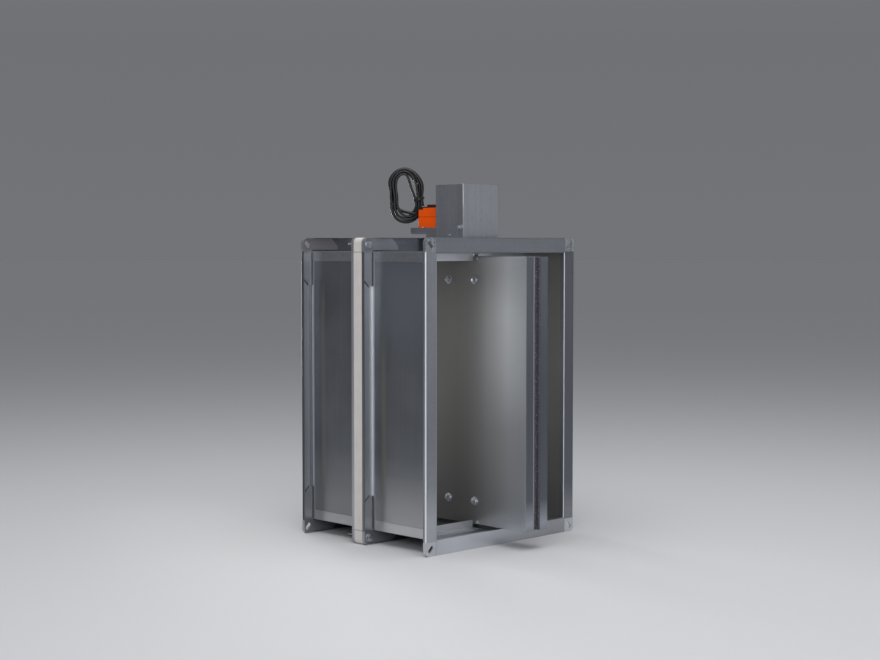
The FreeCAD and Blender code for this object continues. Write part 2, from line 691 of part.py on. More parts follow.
def bolt(axis, centre, seat, end, collar_diameter="bolt_collar_diameter"):
    """A collared hexagon bolt whose head stands before its seat."""
    collar = f"({seat} - bolt_collar)"
    return fused("Bolt", [
        hexagon(axis, centre, f"{collar} - bolt_head", collar, "bolt_across_flats"),
        cylinder(axis, centre, collar, seat, f"{collar_diameter} / 2"),
        cylinder(axis, centre, f"{collar} - bolt_head / 2", end, "bolt_diameter / 2"),
    ])


def nut(axis, centre, seat, collar_diameter="bolt_collar_diameter"):
    """A collared nut that stands behind its seat."""
    collar = f"({seat} + bolt_collar)"
    solid = fused("NutBlank", [
        cylinder(axis, centre, seat, collar, f"{collar_diameter} / 2"),
        hexagon(axis, centre, collar, f"{collar} + nut_height", "bolt_across_flats"),
    ])
    bore = cylinder(
        axis, centre, seat, f"{collar} + nut_height", "bolt_diameter / 2 + thread_fit"
    )
    return cut_from("Nut", solid, bore)


joint_centre = (SLOT_X, SLOT_Z)
head_seat = f"({BREAK_FRONT} - {CORNER_PLATE})"
nut_seat = f"({BREAK_REAR} + {CORNER_PLATE})"
thread_end = f"{nut_seat} + bolt_collar + nut_height + joint_bolt_end"
four_corners("joint_bolts", bolt("Y", joint_centre, head_seat, thread_end))
four_corners("joint_nuts", nut("Y", joint_centre, nut_seat))


# Blade
# Two sheet cassettes with board cores clamp a centre board, whose edge carries the seal.

BOLT_HEIGHTS = (BLADE_BOLT_Z, f"-{BLADE_BOLT_Z}")


def blade_bolt_places():
    for along in ("axis_depth - blade_bolt_spacing / 2", "axis_depth + blade_bolt_spacing / 2"):
        for height in BOLT_HEIGHTS:
            yield along, height


def drill_blade_bolts(body, start, end, heights=BOLT_HEIGHTS):
    holes = [
        (draw_circle, centre, BOLT_HOLE)
        for centre in blade_bolt_places()
        if centre[1] in heights
    ]
    extrude(body, "YZ_Plane", start, end, holes, cut=True)


def blade_rectangle(inset):
    return rectangle(
        f"{BLADE_FRONT} + {inset}",
        f"-{BLADE_HALF_HEIGHT} + {inset}",
        f"{BLADE_REAR} - {inset}",
        f"{BLADE_HALF_HEIGHT} - {inset}",
    )


def cassette(side):
    """A tray of thin sheet with its open side on the centre board."""
    body = new_body(f"cassette_{side}")
    if side == "left":
        outer, inner, floor = f"-{BLADE_FACE}", f"-{CENTRE_FACE}", f"-{BLADE_FACE} + blade_skin"
        span, hollow = (outer, inner), (floor, inner)
    else:
        outer, inner, floor = BLADE_FACE, CENTRE_FACE, f"{BLADE_FACE} - blade_skin"
        span, hollow = (inner, outer), (inner, floor)
    extrude(body, "YZ_Plane", *span, [(draw_polygon, blade_rectangle("0"))])
    level = [(outer, f"{BLADE_HALF_HEIGHT}"), (outer, f"-{BLADE_HALF_HEIGHT}")]
    upright = [(outer, BLADE_FRONT), (outer, BLADE_REAR)]
    round_edges(body, "skin_radius", [("Y", level), ("Z", upright)])
    extrude(body, "YZ_Plane", *hollow, [(draw_polygon, blade_rectangle("blade_skin"))], cut=True)
    drill_blade_bolts(body, *span)
    keep(f"blade_cassette_{side}", body)
    core = new_body(f"core_{side}")
    extrude(core, "YZ_Plane", *hollow, [(draw_polygon, blade_rectangle("blade_skin"))])
    rounded = "skin_radius - blade_skin"
    if number(rounded) > 0:
        folds = rectangle(
            f"{BLADE_FRONT} + blade_skin",
            f"-{BLADE_HALF_HEIGHT} + blade_skin",
            f"{BLADE_REAR} - blade_skin",
            f"{BLADE_HALF_HEIGHT} - blade_skin",
        )
        floor_level = [(floor, height) for depth, height in folds]
        floor_upright = [(floor, depth) for depth, height in folds]
        round_edges(core, rounded, [("Y", floor_level), ("Z", floor_upright)])
    drill_blade_bolts(core, *hollow)
    keep(f"blade_core_{side}", core)


cassette("left")
cassette("right")

bracket_low = "axis_depth - bracket_reach"
bracket_high = "axis_depth + bracket_reach"

centre_board = new_body("centre_board")
centre_span = (f"-{CENTRE_FACE}", CENTRE_FACE)
extrude(centre_board, "YZ_Plane", *centre_span, [(draw_polygon, blade_rectangle(SEAL_IN))])
for low, high in ((BRACKET_BOTTOM, BRACKET_TOP), (f"-{BRACKET_TOP}", f"-{BRACKET_BOTTOM}")):
    notch = rectangle(bracket_low, low, bracket_high, high)
    extrude(centre_board, "YZ_Plane", *centre_span, [(draw_polygon, notch)], cut=True)
keep("blade_centre_board", centre_board)

seal = new_body("seal")
ring = [(draw_polygon, blade_rectangle(SEAL_OUT)), (draw_polygon, blade_rectangle(SEAL_IN))]
extrude(seal, "YZ_Plane", *centre_span, ring)
groove_half = f"({CENTRE_FACE} - seal_lip)"
groove = [
    (draw_polygon, blade_rectangle(SEAL_OUT)),
    (draw_polygon, blade_rectangle(f"({SEAL_OUT} + seal_groove)")),
]
extrude(seal, "YZ_Plane", f"-{groove_half}", groove_half, groove, cut=True)
shaft_hole = (draw_circle, ("0", "axis_depth"), "shaft_diameter / 2 + thread_fit")
extrude(seal, "XY_Plane", f"-{BLADE_HALF_HEIGHT}", BLADE_HALF_HEIGHT, [shaft_hole], cut=True)
keep("blade_seal", seal)


def shaft_bracket(side):
    """A ribbed casting between the cassettes that holds a shaft and takes two blade bolts."""
    body = new_body(f"bracket_{side}")
    outline = rectangle(bracket_low, BRACKET_BOTTOM, bracket_high, BRACKET_TOP)
    extrude(body, "YZ_Plane", *centre_span, [(draw_polygon, outline)])
    hub = "(shaft_diameter / 2 + bracket_rim)"
    for low, high in (
        (f"{bracket_low} + bracket_rim", f"axis_depth - {hub}"),
        (f"axis_depth + {hub}", f"{bracket_high} - bracket_rim"),
    ):
        pocket = rectangle(low, f"{BRACKET_BOTTOM} + bracket_rim", high, f"{BRACKET_TOP} - bracket_rim")
        for start, end in ((f"-{CENTRE_FACE}", "-bracket_web / 2"), ("bracket_web / 2", CENTRE_FACE)):
            extrude(body, "YZ_Plane", start, end, [(draw_polygon, pocket)], cut=True)
    bosses = [
        (draw_circle, centre, "boss_diameter / 2")
        for centre in blade_bolt_places()
        if centre[1] == BLADE_BOLT_Z
    ]
    extrude(body, "YZ_Plane", *centre_span, bosses)
    drill_blade_bolts(body, *centre_span, heights=(BLADE_BOLT_Z,))
    extrude(body, "XY_Plane", BRACKET_BOTTOM, BRACKET_TOP, [shaft_hole], cut=True)
    if side == "lower":
        body = mirrored(body, Vector(0, 0, 1))
    return keep(f"shaft_bracket_{side}", body)


shaft_bracket("upper")
shaft_bracket("lower")


def turned_piece(name, profile):
    """A piece turned about the blade axis from pairs of radius and height."""
    body = new_body(name)
    sketch = new_sketch(body, "XZ_Plane", "0")
    draw_polygon(sketch, profile)
    feature = body.newObject("PartDesign::Revolution", "Turned")
    feature.Profile = sketch
    feature.ReferenceAxis = (sketch, ["V_Axis"])
    feature.Angle = 360
    doc.recompute()
    place(body, ("0", "axis_depth", "0"))
    return body


SHAFT = "(shaft_diameter / 2)"
COLLAR_SEAT = f"({HALF_HEIGHT} - bush_flange - collar_fit)"
COLLAR_START = f"({BLADE_HALF_HEIGHT} + thread_fit)"
SHAFT_TIP = f"({POINTER_TOP} + shaft_end)"
BUSH_END = f"({HALF_HEIGHT} - bush_flange + bush_length)"


def shaft_profile(tip):
    return [
        ("0", BRACKET_BOTTOM),
        (SHAFT, BRACKET_BOTTOM),
        (SHAFT, COLLAR_START),
        ("collar_diameter / 2", COLLAR_START),
        ("collar_diameter / 2", COLLAR_SEAT),
        (SHAFT, COLLAR_SEAT),
        (SHAFT, f"{tip} - shaft_chamfer"),
        (f"{SHAFT} - shaft_chamfer", tip),
        ("0", tip),
    ]


keep("drive_shaft", turned_piece("drive_shaft", shaft_profile(SHAFT_TIP)))
idle = turned_piece("idle_shaft_blank", shaft_profile(f"({BUSH_END} + idle_shaft_end)"))
keep("idle_shaft", mirrored(idle, Vector(0, 0, 1)))


def bush_profile():
    bore = f"({SHAFT} + bearing_fit)"
    flange_face = f"({HALF_HEIGHT} - bush_flange)"
    return [
        (bore, flange_face),
        ("bush_flange_diameter / 2", flange_face),
        ("bush_flange_diameter / 2", HALF_HEIGHT),
        ("bush_diameter / 2", HALF_HEIGHT),
        ("bush_diameter / 2", BUSH_END),
        (bore, BUSH_END),
    ]


keep("upper_bush", turned_piece("upper_bush", bush_profile()))
lower = turned_piece("lower_bush_blank", bush_profile())
keep("lower_bush", mirrored(lower, Vector(0, 0, 1)))

blade_bolts = []
blade_nuts = []
for centre in blade_bolt_places():
    thread = f"{BLADE_FACE} + bolt_collar + nut_height + blade_bolt_end"
    blade_bolts.append(bolt("X", centre, f"(-{BLADE_FACE})", thread, "blade_collar_diameter"))
    blade_nuts.append(nut("X", centre, BLADE_FACE, "blade_collar_diameter"))
group("blade_bolts", blade_bolts)
group("blade_nuts", blade_nuts)


# Stop angles
# Three angles meet the left half of the closed blade in front, three its right half behind.

STOP_FACE = f"(axis_depth - {BLADE_FACE} - stop_gap)"


def stop_angles(label, turned):
    """Angles on the casing top, bottom and one side, turned about the blade axis or not."""
    members = []
    legs = []
    for sign in ("", "-"):
        corner = [
            (STOP_FACE, f"{sign}{HALF_HEIGHT}"),
            (STOP_FACE, f"{sign}({HALF_HEIGHT} - stop_leg)"),
            (f"{STOP_FACE} - stop_sheet", f"{sign}({HALF_HEIGHT} - stop_leg)"),
            (f"{STOP_FACE} - stop_sheet", f"{sign}({HALF_HEIGHT} - stop_sheet)"),
            (f"{STOP_FACE} - stop_foot", f"{sign}({HALF_HEIGHT} - stop_sheet)"),
            (f"{STOP_FACE} - stop_foot", f"{sign}{HALF_HEIGHT}"),
        ]
        body = new_body(f"{label}_level")
        extrude(body, "YZ_Plane", f"-{HALF_WIDTH}", "-stop_end", [(draw_polygon, corner)])
        fold = (STOP_FACE, f"{sign}{HALF_HEIGHT}")
        round_edges(body, "stop_sheet * fold_share", [("X", [fold])])
        members.append(body)
    upright = [
        (f"-{HALF_WIDTH}", STOP_FACE),
        (f"-{HALF_WIDTH} + stop_leg", STOP_FACE),
        (f"-{HALF_WIDTH} + stop_leg", f"{STOP_FACE} - stop_sheet"),
        (f"-{HALF_WIDTH} + stop_sheet", f"{STOP_FACE} - stop_sheet"),
        (f"-{HALF_WIDTH} + stop_sheet", f"{STOP_FACE} - stop_foot"),
        (f"-{HALF_WIDTH}", f"{STOP_FACE} - stop_foot"),
    ]
    body = new_body(f"{label}_upright")
    end = f"({HALF_HEIGHT} - stop_leg)"
    extrude(body, "XY_Plane", f"-{end}", end, [(draw_polygon, upright)])
    round_edges(body, "stop_sheet * fold_share", [("Z", [(f"-{HALF_WIDTH}", STOP_FACE)])])
    members.append(body)
    if turned:
        for body in members:
            place(body, ("0", "2 * axis_depth", "0"), Rotation(Vector(0, 0, 1), 180))
    group(label, members)


stop_angles("front_stops", False)
stop_angles("rear_stops", True)


# Console that carries the actuator

PLATE_UNDER = f"({PLATE_TOP} - console_sheet)"
SIDE_IN = "(console_half_width - console_sheet)"

console = new_body("console_body")
block(
    console,
    ("-console_half_width", CONSOLE_FRONT, PLATE_UNDER),
    ("console_half_width", CONSOLE_END, PLATE_TOP),
)
ear_top = f"({PLATE_TOP} + console_ear_height)"
side_plate = [
    (CONSOLE_FRONT, CASING_TOP),
    (CONSOLE_LEG_END, CASING_TOP),
    (CONSOLE_LEG_END, f"{PLATE_TOP} - console_edge"),
    (CONSOLE_END, f"{PLATE_TOP} - console_edge"),
    (CONSOLE_END, PLATE_TOP),
    (f"{CONSOLE_FRONT} + console_ear_length", PLATE_TOP),
    (f"{CONSOLE_FRONT} + console_ear_length", ear_top),
    (CONSOLE_FRONT, ear_top),
]
foot_top = f"({CASING_TOP} + console_sheet)"
for sign, span in (("", (SIDE_IN, "console_half_width")), ("-", ("-console_half_width", f"-{SIDE_IN}"))):
    extrude(console, "YZ_Plane", *span, [(draw_polygon, side_plate)])
    near, far = f"{sign}({SIDE_IN} - console_foot_width)", f"{sign}{SIDE_IN}"
    low, high = sorted((near, far), key=number)
    block(
        console,
        (low, f"{CONSOLE_FRONT} + console_sheet", CASING_TOP),
        (high, CONSOLE_FOOT_END, foot_top),
    )
edge_bottom = f"({PLATE_TOP} - console_edge)"
round_edges(console, "console_radius", [
    ("X", [(CONSOLE_END, edge_bottom), (CONSOLE_FRONT, ear_top)]),
    ("X", [(f"{CONSOLE_FRONT} + console_ear_length", ear_top)]),
])
holes = [
    (draw_circle, ("0", "axis_depth"), "console_hole_diameter / 2"),
    (draw_circle, ("trip_x", PLUG_DEPTH), "plug_diameter / 2 + bush_fit"),
]
extrude(console, "XY_Plane", PLATE_UNDER, PLATE_TOP, holes, cut=True)
screw_places = [
    (UPPER_SCREW_DEPTH, f"{CASING_TOP} + upper_screw_rise"),
    (LOWER_SCREW_DEPTH, f"{CASING_TOP} + lower_screw_rise"),
]
screw_holes = [(draw_circle, centre, "screw_diameter / 2 + thread_fit") for centre in screw_places]
hole_end = "(cover_width / 2 - screw_length - thread_fit)"
for span in ((hole_end, "console_half_width"), ("-console_half_width", f"-{hole_end}")):
    extrude(console, "YZ_Plane", *span, screw_holes, cut=True)
keep("console", console)


# Cover box over the shaft end

cover = new_body("cover")
block(
    cover,
    ("-cover_width / 2", COVER_FRONT, CASING_TOP),
    ("cover_width / 2", COVER_REAR, COVER_TOP),
)
upright_folds = [
    ("-cover_width / 2", COVER_FRONT),
    ("cover_width / 2", COVER_FRONT),
    ("-cover_width / 2", COVER_REAR),
    ("cover_width / 2", COVER_REAR),
]
top_folds = [(COVER_FRONT, COVER_TOP), (COVER_REAR, COVER_TOP)]
side_folds = [("-cover_width / 2", COVER_TOP), ("cover_width / 2", COVER_TOP)]
round_edges(cover, "cover_fold", [("Z", upright_folds), ("X", top_folds), ("Y", side_folds)])
block(
    cover,
    ("-cover_width / 2 + cover_sheet", f"{COVER_FRONT} + cover_sheet", CASING_TOP),
    ("cover_width / 2 - cover_sheet", f"{COVER_REAR} - cover_sheet", f"{COVER_TOP} - cover_sheet"),
    cut=True,
)
rear_wall = (f"{COVER_REAR} - cover_sheet", COVER_REAR)
inner_half = "(cover_width / 2 - cover_sheet)"
legs_gap = rectangle(f"-{inner_half}", CASING_TOP, inner_half, f"{PLATE_TOP} + cover_gap")
extrude(cover, "XZ_Plane", *rear_wall, [(draw_polygon, legs_gap)], cut=True)
actuator_half = "(actuator_width / 2 + cover_gap)"
actuator_gap = rectangle(f"-{actuator_half}", PLATE_TOP, actuator_half, f"{DECK_TOP} + cover_gap")
extrude(cover, "XZ_Plane", *rear_wall, [(draw_polygon, actuator_gap)], cut=True)
for span in ((inner_half, "cover_width / 2"), ("-cover_width / 2", f"-{inner_half}")):
    extrude(cover, "YZ_Plane", *span, screw_holes, cut=True)
keep("cover_box", cover)


def cover_screw(centre, steps):
    """A screw in the cover's side whose outer end is built up from pairs of length and diameter."""
    seat = "cover_width / 2"
    members = [cylinder("X", centre, f"{seat} - screw_length", seat, "screw_diameter / 2")]
    for length, diameter in steps:
        members.append(cylinder("X", centre, seat, f"{seat} + {length}", f"{diameter} / 2"))
        seat = f"{seat} + {length}"
    return fused("Screw", members)


knob = [
    ("knob_collar", "knob_collar_diameter"),
    ("knob_neck", "screw_diameter"),
    ("knob_length", "knob_diameter"),
]
plain_head = [("screw_head", "screw_head_diameter")]
right_screws = [cover_screw(centre, plain_head) for centre in screw_places]
left_screws = [
    mirrored(cover_screw(centre, steps), Vector(1, 0, 0))
    for centre, steps in zip(screw_places, (knob, plain_head))
]
group("cover_screws", right_screws + left_screws)


# Actuator

housing = new_body("housing")
half_housing = "(actuator_width / 2)"
block(
    housing,
    (f"-{half_housing}", ACTUATOR_FRONT, PLATE_TOP),
    (half_housing, ACTUATOR_END, ACTUATOR_TOP),
)
uprights = [
    (side, end)
    for side in (f"-{half_housing}", half_housing)
    for end in (ACTUATOR_FRONT, ACTUATOR_END)
]
round_edges(housing, "actuator_radius", [("Z", uprights)])
cap_start = f"({ACTUATOR_END} - cap_tongue)"
cap_floor = f"({ACTUATOR_TOP} - cap_rebate)"
block(
    housing,
    ("-deck_width / 2", DECK_FRONT, ACTUATOR_TOP),
    ("deck_width / 2", cap_start, DECK_TOP),
)
deck_sides = [("-deck_width / 2", DECK_TOP), ("deck_width / 2", DECK_TOP)]
round_edges(housing, "deck_radius", [("Y", deck_sides), ("X", [(DECK_FRONT, DECK_TOP)])])
block(
    housing,
    (f"-{half_housing}", cap_start, cap_floor),
    (half_housing, ACTUATOR_END, ACTUATOR_TOP),
    cut=True,
)
hub_hole = (draw_circle, ("0", "axis_depth"), "hub_diameter / 2")
extrude(housing, "XY_Plane", PLATE_TOP, DECK_TOP, [hub_hole], cut=True)
socket = hexagon(
    "Z", ("0", CRANK_DEPTH), f"{DECK_TOP} - crank_bore", f"{DECK_TOP} + crank_bore", "crank_across_flats"
)
keep("actuator_housing", cut_from("Housing", housing, socket))

cable_end = new_body("cable_end")
cap_top = f"({ACTUATOR_TOP} + cap_rise)"
cap_side = [
    (cap_start, cap_floor),
    (ACTUATOR_END, cap_floor),
    (ACTUATOR_END, f"{cap_top} - cap_drop"),
    (f"{ACTUATOR_END} + cap_plate", f"{cap_top} - cap_drop"),
    (f"{ACTUATOR_END} + cap_plate", cap_top),
    (cap_start, cap_top),
]
extrude(cable_end, "YZ_Plane", f"-{half_housing}", half_housing, [(draw_polygon, cap_side)])
round_edges(cable_end, "cap_plate / 2", [("X", [(f"{ACTUATOR_END} + cap_plate", cap_top)])])
cap_rear = f"({ACTUATOR_END} + cap_plate)"
gland_height = f"({PLATE_TOP} + gland_rise)"


def gland(x):
    """A tapered sleeve that a cable leaves the actuator through."""
    cone = doc.addObject("Part::Cone", "GlandCone")
    cone.setExpression("Radius1", bound("gland_diameter / 2"))
    cone.setExpression("Radius2", bound("gland_tip_diameter / 2"))
    cone.setExpression("Height", bound("gland_length"))
    place(cone, (x, cap_rear, gland_height), AXIS_TURNS["Y"])
    return cone


cap_with_glands = fused("CableEnd", [cable_end, gland("supply_x"), gland("signal_x")])
keep("actuator_cable_end", cap_with_glands)

clamp = new_body("clamp")
hub_bottom = f"({PLATE_TOP} + hub_lift)"
extrude(
    clamp, "XY_Plane", hub_bottom, CLAMP_TOP,
    [(draw_circle, ("0", "axis_depth"), "hub_diameter / 2 - hub_fit")],
)
block(
    clamp,
    ("-clamp_length / 2", "axis_depth - clamp_width / 2", CLAMP_BOTTOM),
    ("clamp_length / 2", "axis_depth + clamp_width / 2", CLAMP_TOP),
)
extrude(clamp, "XY_Plane", hub_bottom, CLAMP_TOP, [shaft_hole], cut=True)
keep("shaft_clamp", clamp)

pointer = new_body("pointer")
arrow = [
    ("-pointer_width / 2", "axis_depth - pointer_reach + pointer_point"),
    ("0", "axis_depth - pointer_reach"),
    ("pointer_width / 2", "axis_depth - pointer_reach + pointer_point"),
    ("pointer_width / 2", "axis_depth + pointer_tail"),
    ("-pointer_width / 2", "axis_depth + pointer_tail"),
]
extrude(pointer, "XY_Plane", CLAMP_TOP, POINTER_TOP, [(draw_polygon, arrow)])
extrude(pointer, "XY_Plane", CLAMP_TOP, POINTER_TOP, [shaft_hole], cut=True)
keep("position_pointer", pointer)


# Thermal tripping device

trip = new_body("trip")
trip_low, trip_high = "(trip_x - trip_width / 2)", "(trip_x + trip_width / 2)"
trip_top = f"({CASING_TOP} + trip_height)"
block(trip, (trip_low, TRIP_FRONT, CASING_TOP), (trip_high, TRIP_END, trip_top))
trip_edges = [(x, y) for x in (trip_low, trip_high) for y in (TRIP_FRONT, TRIP_END)]
round_edges(trip, "trip_radius", [("Z", trip_edges)])
plug = (draw_circle, ("trip_x", PLUG_DEPTH), "plug_diameter / 2")
extrude(trip, "XY_Plane", trip_top, PLATE_TOP, [plug])
button_centre = ("trip_x", f"{CASING_TOP} + button_rise")
button_hole = (draw_circle, button_centre, "button_diameter / 2 + button_fit")
extrude(trip, "XZ_Plane", f"{TRIP_END} - button_bore", TRIP_END, [button_hole], cut=True)
keep("tripping_device", trip)

probe_centre = ("trip_x", PROBE_DEPTH)
probe = cylinder("Z", probe_centre, f"{CASING_TOP} - probe_reach", CASING_TOP, "probe_diameter / 2")
tip = doc.addObject("Part::Sphere", "ProbeTip")
tip.setExpression("Radius", bound("probe_diameter / 2"))
place(tip, ("trip_x", PROBE_DEPTH, f"{CASING_TOP} - probe_reach"))
keep("temperature_probe", fused("Probe", [probe, tip]))

button_start = f"({TRIP_END} - button_bore + button_room)"
button = new_body("button")
extrude(
    button, "XZ_Plane", button_start, f"{button_start} + button_length",
    [(draw_circle, button_centre, "button_diameter / 2")],
)
keep("test_button", button)


# Cables
# Both cables are wound together into a tied hank that stands behind the actuator. Its plane
# is upright and runs back to the left. Its middle line is two arcs and their outer tangents.

cable_start = f"({cap_rear} + gland_length)"
hank_corner = Vector(number("hank_x"), number(f"{cable_start} + hank_gap"), number(gland_height))
hank_along = Rotation(Vector(0, 0, 1), number("-hank_turn")).multVec(Vector(-1, 0, 0))
bundle = number("hank_diameter / 2")


def on_hank(aside, rise):
    """A point of the hank's plane, by its distance from the near edge and above the glands."""
    return hank_corner + hank_along * aside + Vector(0, 0, rise)


def hank_bend(which):
    return [number(f"hank_{which}_{size}") for size in ("aside", "rise", "radius")]


def on_bend(bend, angle):
    aside, rise, radius = bend
    return on_hank(aside + radius * math.cos(angle), rise + radius * math.sin(angle))


upper_bend = hank_bend("top")
lower_bend = hank_bend("bottom")
offset = math.hypot(upper_bend[0] - lower_bend[0], upper_bend[1] - lower_bend[1])
lean = math.atan2(upper_bend[1] - lower_bend[1], upper_bend[0] - lower_bend[0])
swing = math.acos((lower_bend[2] - upper_bend[2]) / offset)
far_side, near_side = lean - swing, lean + swing


def hank_section(bend, angle):
    heading = hank_along * -math.sin(angle) + Vector(0, 0, math.cos(angle))
    outline = Part.Circle(on_bend(bend, angle), heading, bundle)
    return Part.Face(Part.Wire(outline.toShape()))


def hank_ring():
    """A round section led along the middle line, wide below and narrow above."""
    level = hank_along.cross(Vector(0, 0, 1))
    over_top = math.degrees(near_side - far_side)
    upper_centre, lower_centre = on_hank(*upper_bend[:2]), on_hank(*lower_bend[:2])
    stretches = [hank_section(lower_bend, near_side).revolve(lower_centre, level, 360 - over_top)]
    for side in (near_side, far_side):
        run = on_bend(lower_bend, side) - on_bend(upper_bend, side)
        stretches.append(hank_section(upper_bend, side).extrude(run))
    top = hank_section(upper_bend, far_side).revolve(upper_centre, level, over_top)
    return top.fuse(stretches).removeSplitter()


def hank_tie():
    """A narrow band round the bundle, on the straight near side."""
    heading = (on_bend(lower_bend, near_side) - on_bend(upper_bend, near_side)).normalize()
    width = number("tie_width")
    start = on_bend(upper_bend, near_side) + heading * (number("tie_drop") - width / 2)
    inside = bundle + number("tie_room")
    band = Part.makeCylinder(inside + number("tie_thickness"), width, start, heading)
    return band.cut(Part.makeCylinder(inside, width, start, heading))


def soft_piece(label, shape):
    piece = doc.addObject("Part::Feature", "Soft")
    piece.Shape = shape
    piece.Placement = Placement()
    keep(label, piece)


def lead(label, x, diameter):
    """The straight stretch of a cable from its gland into the hank."""
    end = f"{cable_start} + lead_into_hank"
    keep(label, cylinder("Y", (x, gland_height), cable_start, end, f"{diameter} / 2"))


soft_piece("cable_hank", hank_ring())
soft_piece("cable_tie", hank_tie())
lead("supply_cable", "supply_x", "supply_diameter")
lead("signal_cable", "signal_x", "signal_diameter")


# Checks and files

doc.recompute()
for item in doc.Objects:
    if any(word in item.State for word in ("Invalid", "Error")):
        raise ValueError(f"{item.Name} ({item.Label}) failed: {item.State}")
labels = [piece.Label for piece in pieces]
if len(set(labels)) != len(labels):
    raise ValueError("two sub-parts share a label")
for piece in pieces:
    shape = piece.Shape
    if shape.isNull() or not shape.isValid() or not shape.Solids:
        raise ValueError(f"{piece.Label}: no valid solid")
for piece in pieces:
    piece.Shape.exportStep(f"parts/{piece.Label}.step")
    print(piece.Label, len(piece.Shape.Solids), "solid(s)", round(piece.Shape.Volume / 1000, 2), "cm3")
print(len(pieces), "sub-parts")
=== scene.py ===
# %% [markdown]
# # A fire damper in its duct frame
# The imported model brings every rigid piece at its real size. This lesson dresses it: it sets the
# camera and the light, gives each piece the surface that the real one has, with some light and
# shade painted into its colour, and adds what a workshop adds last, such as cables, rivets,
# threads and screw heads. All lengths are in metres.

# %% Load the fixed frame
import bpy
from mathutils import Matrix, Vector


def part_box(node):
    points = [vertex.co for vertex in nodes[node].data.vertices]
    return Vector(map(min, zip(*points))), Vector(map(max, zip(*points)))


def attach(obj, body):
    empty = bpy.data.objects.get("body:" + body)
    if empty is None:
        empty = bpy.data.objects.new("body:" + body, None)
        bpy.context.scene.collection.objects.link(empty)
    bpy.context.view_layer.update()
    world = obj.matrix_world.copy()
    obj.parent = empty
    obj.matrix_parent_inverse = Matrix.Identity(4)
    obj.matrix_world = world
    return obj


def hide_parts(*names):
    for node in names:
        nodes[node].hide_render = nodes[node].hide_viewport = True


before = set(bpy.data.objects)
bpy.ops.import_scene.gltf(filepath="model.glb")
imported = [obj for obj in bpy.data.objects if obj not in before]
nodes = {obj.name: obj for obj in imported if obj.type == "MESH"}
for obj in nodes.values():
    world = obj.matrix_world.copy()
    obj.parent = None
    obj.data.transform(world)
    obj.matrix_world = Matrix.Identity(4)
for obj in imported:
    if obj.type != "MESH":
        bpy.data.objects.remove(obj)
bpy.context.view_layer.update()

# %% [markdown]
# ## Tools and the unit
# Blender counts in metres, a workshop in millimetres. One factor and one small function let every
# size below be written as it would stand on a drawing.

# %% Import the tools and name the unit
import math

import bpy
import numpy as np
from mathutils import Matrix, Vector

scene = bpy.context.scene
mm = 0.001


def place(*millimetres):
    """A point given in millimetres."""
    return Vector(millimetres) * mm


# %% [markdown]
# ## The camera
# A long lens a little above the middle of the duct keeps the upright edges parallel. The camera
# looks down by three degrees, so the horizon lies above the middle of the picture.

# %% Set the camera
CAMERA_PLACE = Vector((-2.54609, -2.41036, 0.31919))
# Degrees to the right of straight ahead and below the horizon
CAMERA_TURN, CAMERA_DROP = 44.3473, 3.0459
LENS, SENSOR_WIDTH = 66.55, 36
camera = bpy.data.objects.new("camera", bpy.data.cameras.new("camera"))
scene.collection.objects.link(camera)
camera.location = CAMERA_PLACE
camera.rotation_euler = (math.radians(90 - CAMERA_DROP), 0, -math.radians(CAMERA_TURN))
camera.data.sensor_width = SENSOR_WIDTH
camera.data.lens = LENS
scene.camera = camera
scene.view_settings.view_transform = "Standard"
print("camera stands", round(CAMERA_PLACE.length, 2), "m from the middle of the duct")

# %% [markdown]
# ## Cables in a hank
# Two cables leave the actuator through glands and are wound together into a tied hank. A loose
# hank is narrow where it hangs and wide below, so its middle line is two bends joined by straight
# sides. Everything about the hank is measured from this one line.

# %% Lay out the middle line of the hank
# The hank stands upright on this corner, square to the camera's view
HANK_CORNER = place(-2, 240, 385)
HANK_TURN = math.radians(44.35)
HANK_ALONG = Vector((-math.cos(HANK_TURN), math.sin(HANK_TURN), 0))
HANK_AWAY = HANK_ALONG.cross(Vector((0, 0, 1)))
# Distance along the hank, height and radius of both bends, in millimetres
TOP_BEND = (46, 78, 17)
LOW_BEND = (43, 21, 31)
lean = math.atan2(TOP_BEND[1] - LOW_BEND[1], TOP_BEND[0] - LOW_BEND[0])
gap = math.hypot(TOP_BEND[1] - LOW_BEND[1], TOP_BEND[0] - LOW_BEND[0])
swing = math.acos((LOW_BEND[2] - TOP_BEND[2]) / gap)
FAR_SIDE, NEAR_SIDE = lean - swing, lean + swing
STRAIGHT = gap * math.sin(swing)
BOTTOM = -math.pi / 2
BENDS = [
    (LOW_BEND, BOTTOM, FAR_SIDE),
    (TOP_BEND, FAR_SIDE, NEAR_SIDE),
    (LOW_BEND, NEAR_SIDE, BOTTOM + 2 * math.pi),
]
ARCS = [bend[2] * (end - start) for bend, start, end in BENDS]
TURN_LENGTH = sum(ARCS) + 2 * STRAIGHT
print("one turn is", round(TURN_LENGTH), "mm long")


def on_side(bend, angle, run=0):
    """A point where a bend has turned to an angle, or further along its straight side."""
    aside, rise, radius = bend
    out = (math.cos(angle), math.sin(angle))
    return (aside + radius * out[0] - out[1] * run, rise + radius * out[1] + out[0] * run), out


def middle_of_hank(turn):
    """Place and outward direction, in the hank's plane, after a share of a turn from the bottom."""
    left = (turn % 1) * TURN_LENGTH
    for index, ((bend, start, end), arc) in enumerate(zip(BENDS, ARCS)):
        if left <= arc or index == 2:
            return on_side(bend, start + left / bend[2])
        left -= arc
        if left <= STRAIGHT:
            return on_side(bend, end, left)
        left -= STRAIGHT


def in_hank(aside, rise, away=0):
    """A point of the hank's plane, or beside it, from millimetres."""
    return HANK_CORNER + (HANK_ALONG * aside + Vector((0, 0, rise)) + HANK_AWAY * away) * mm


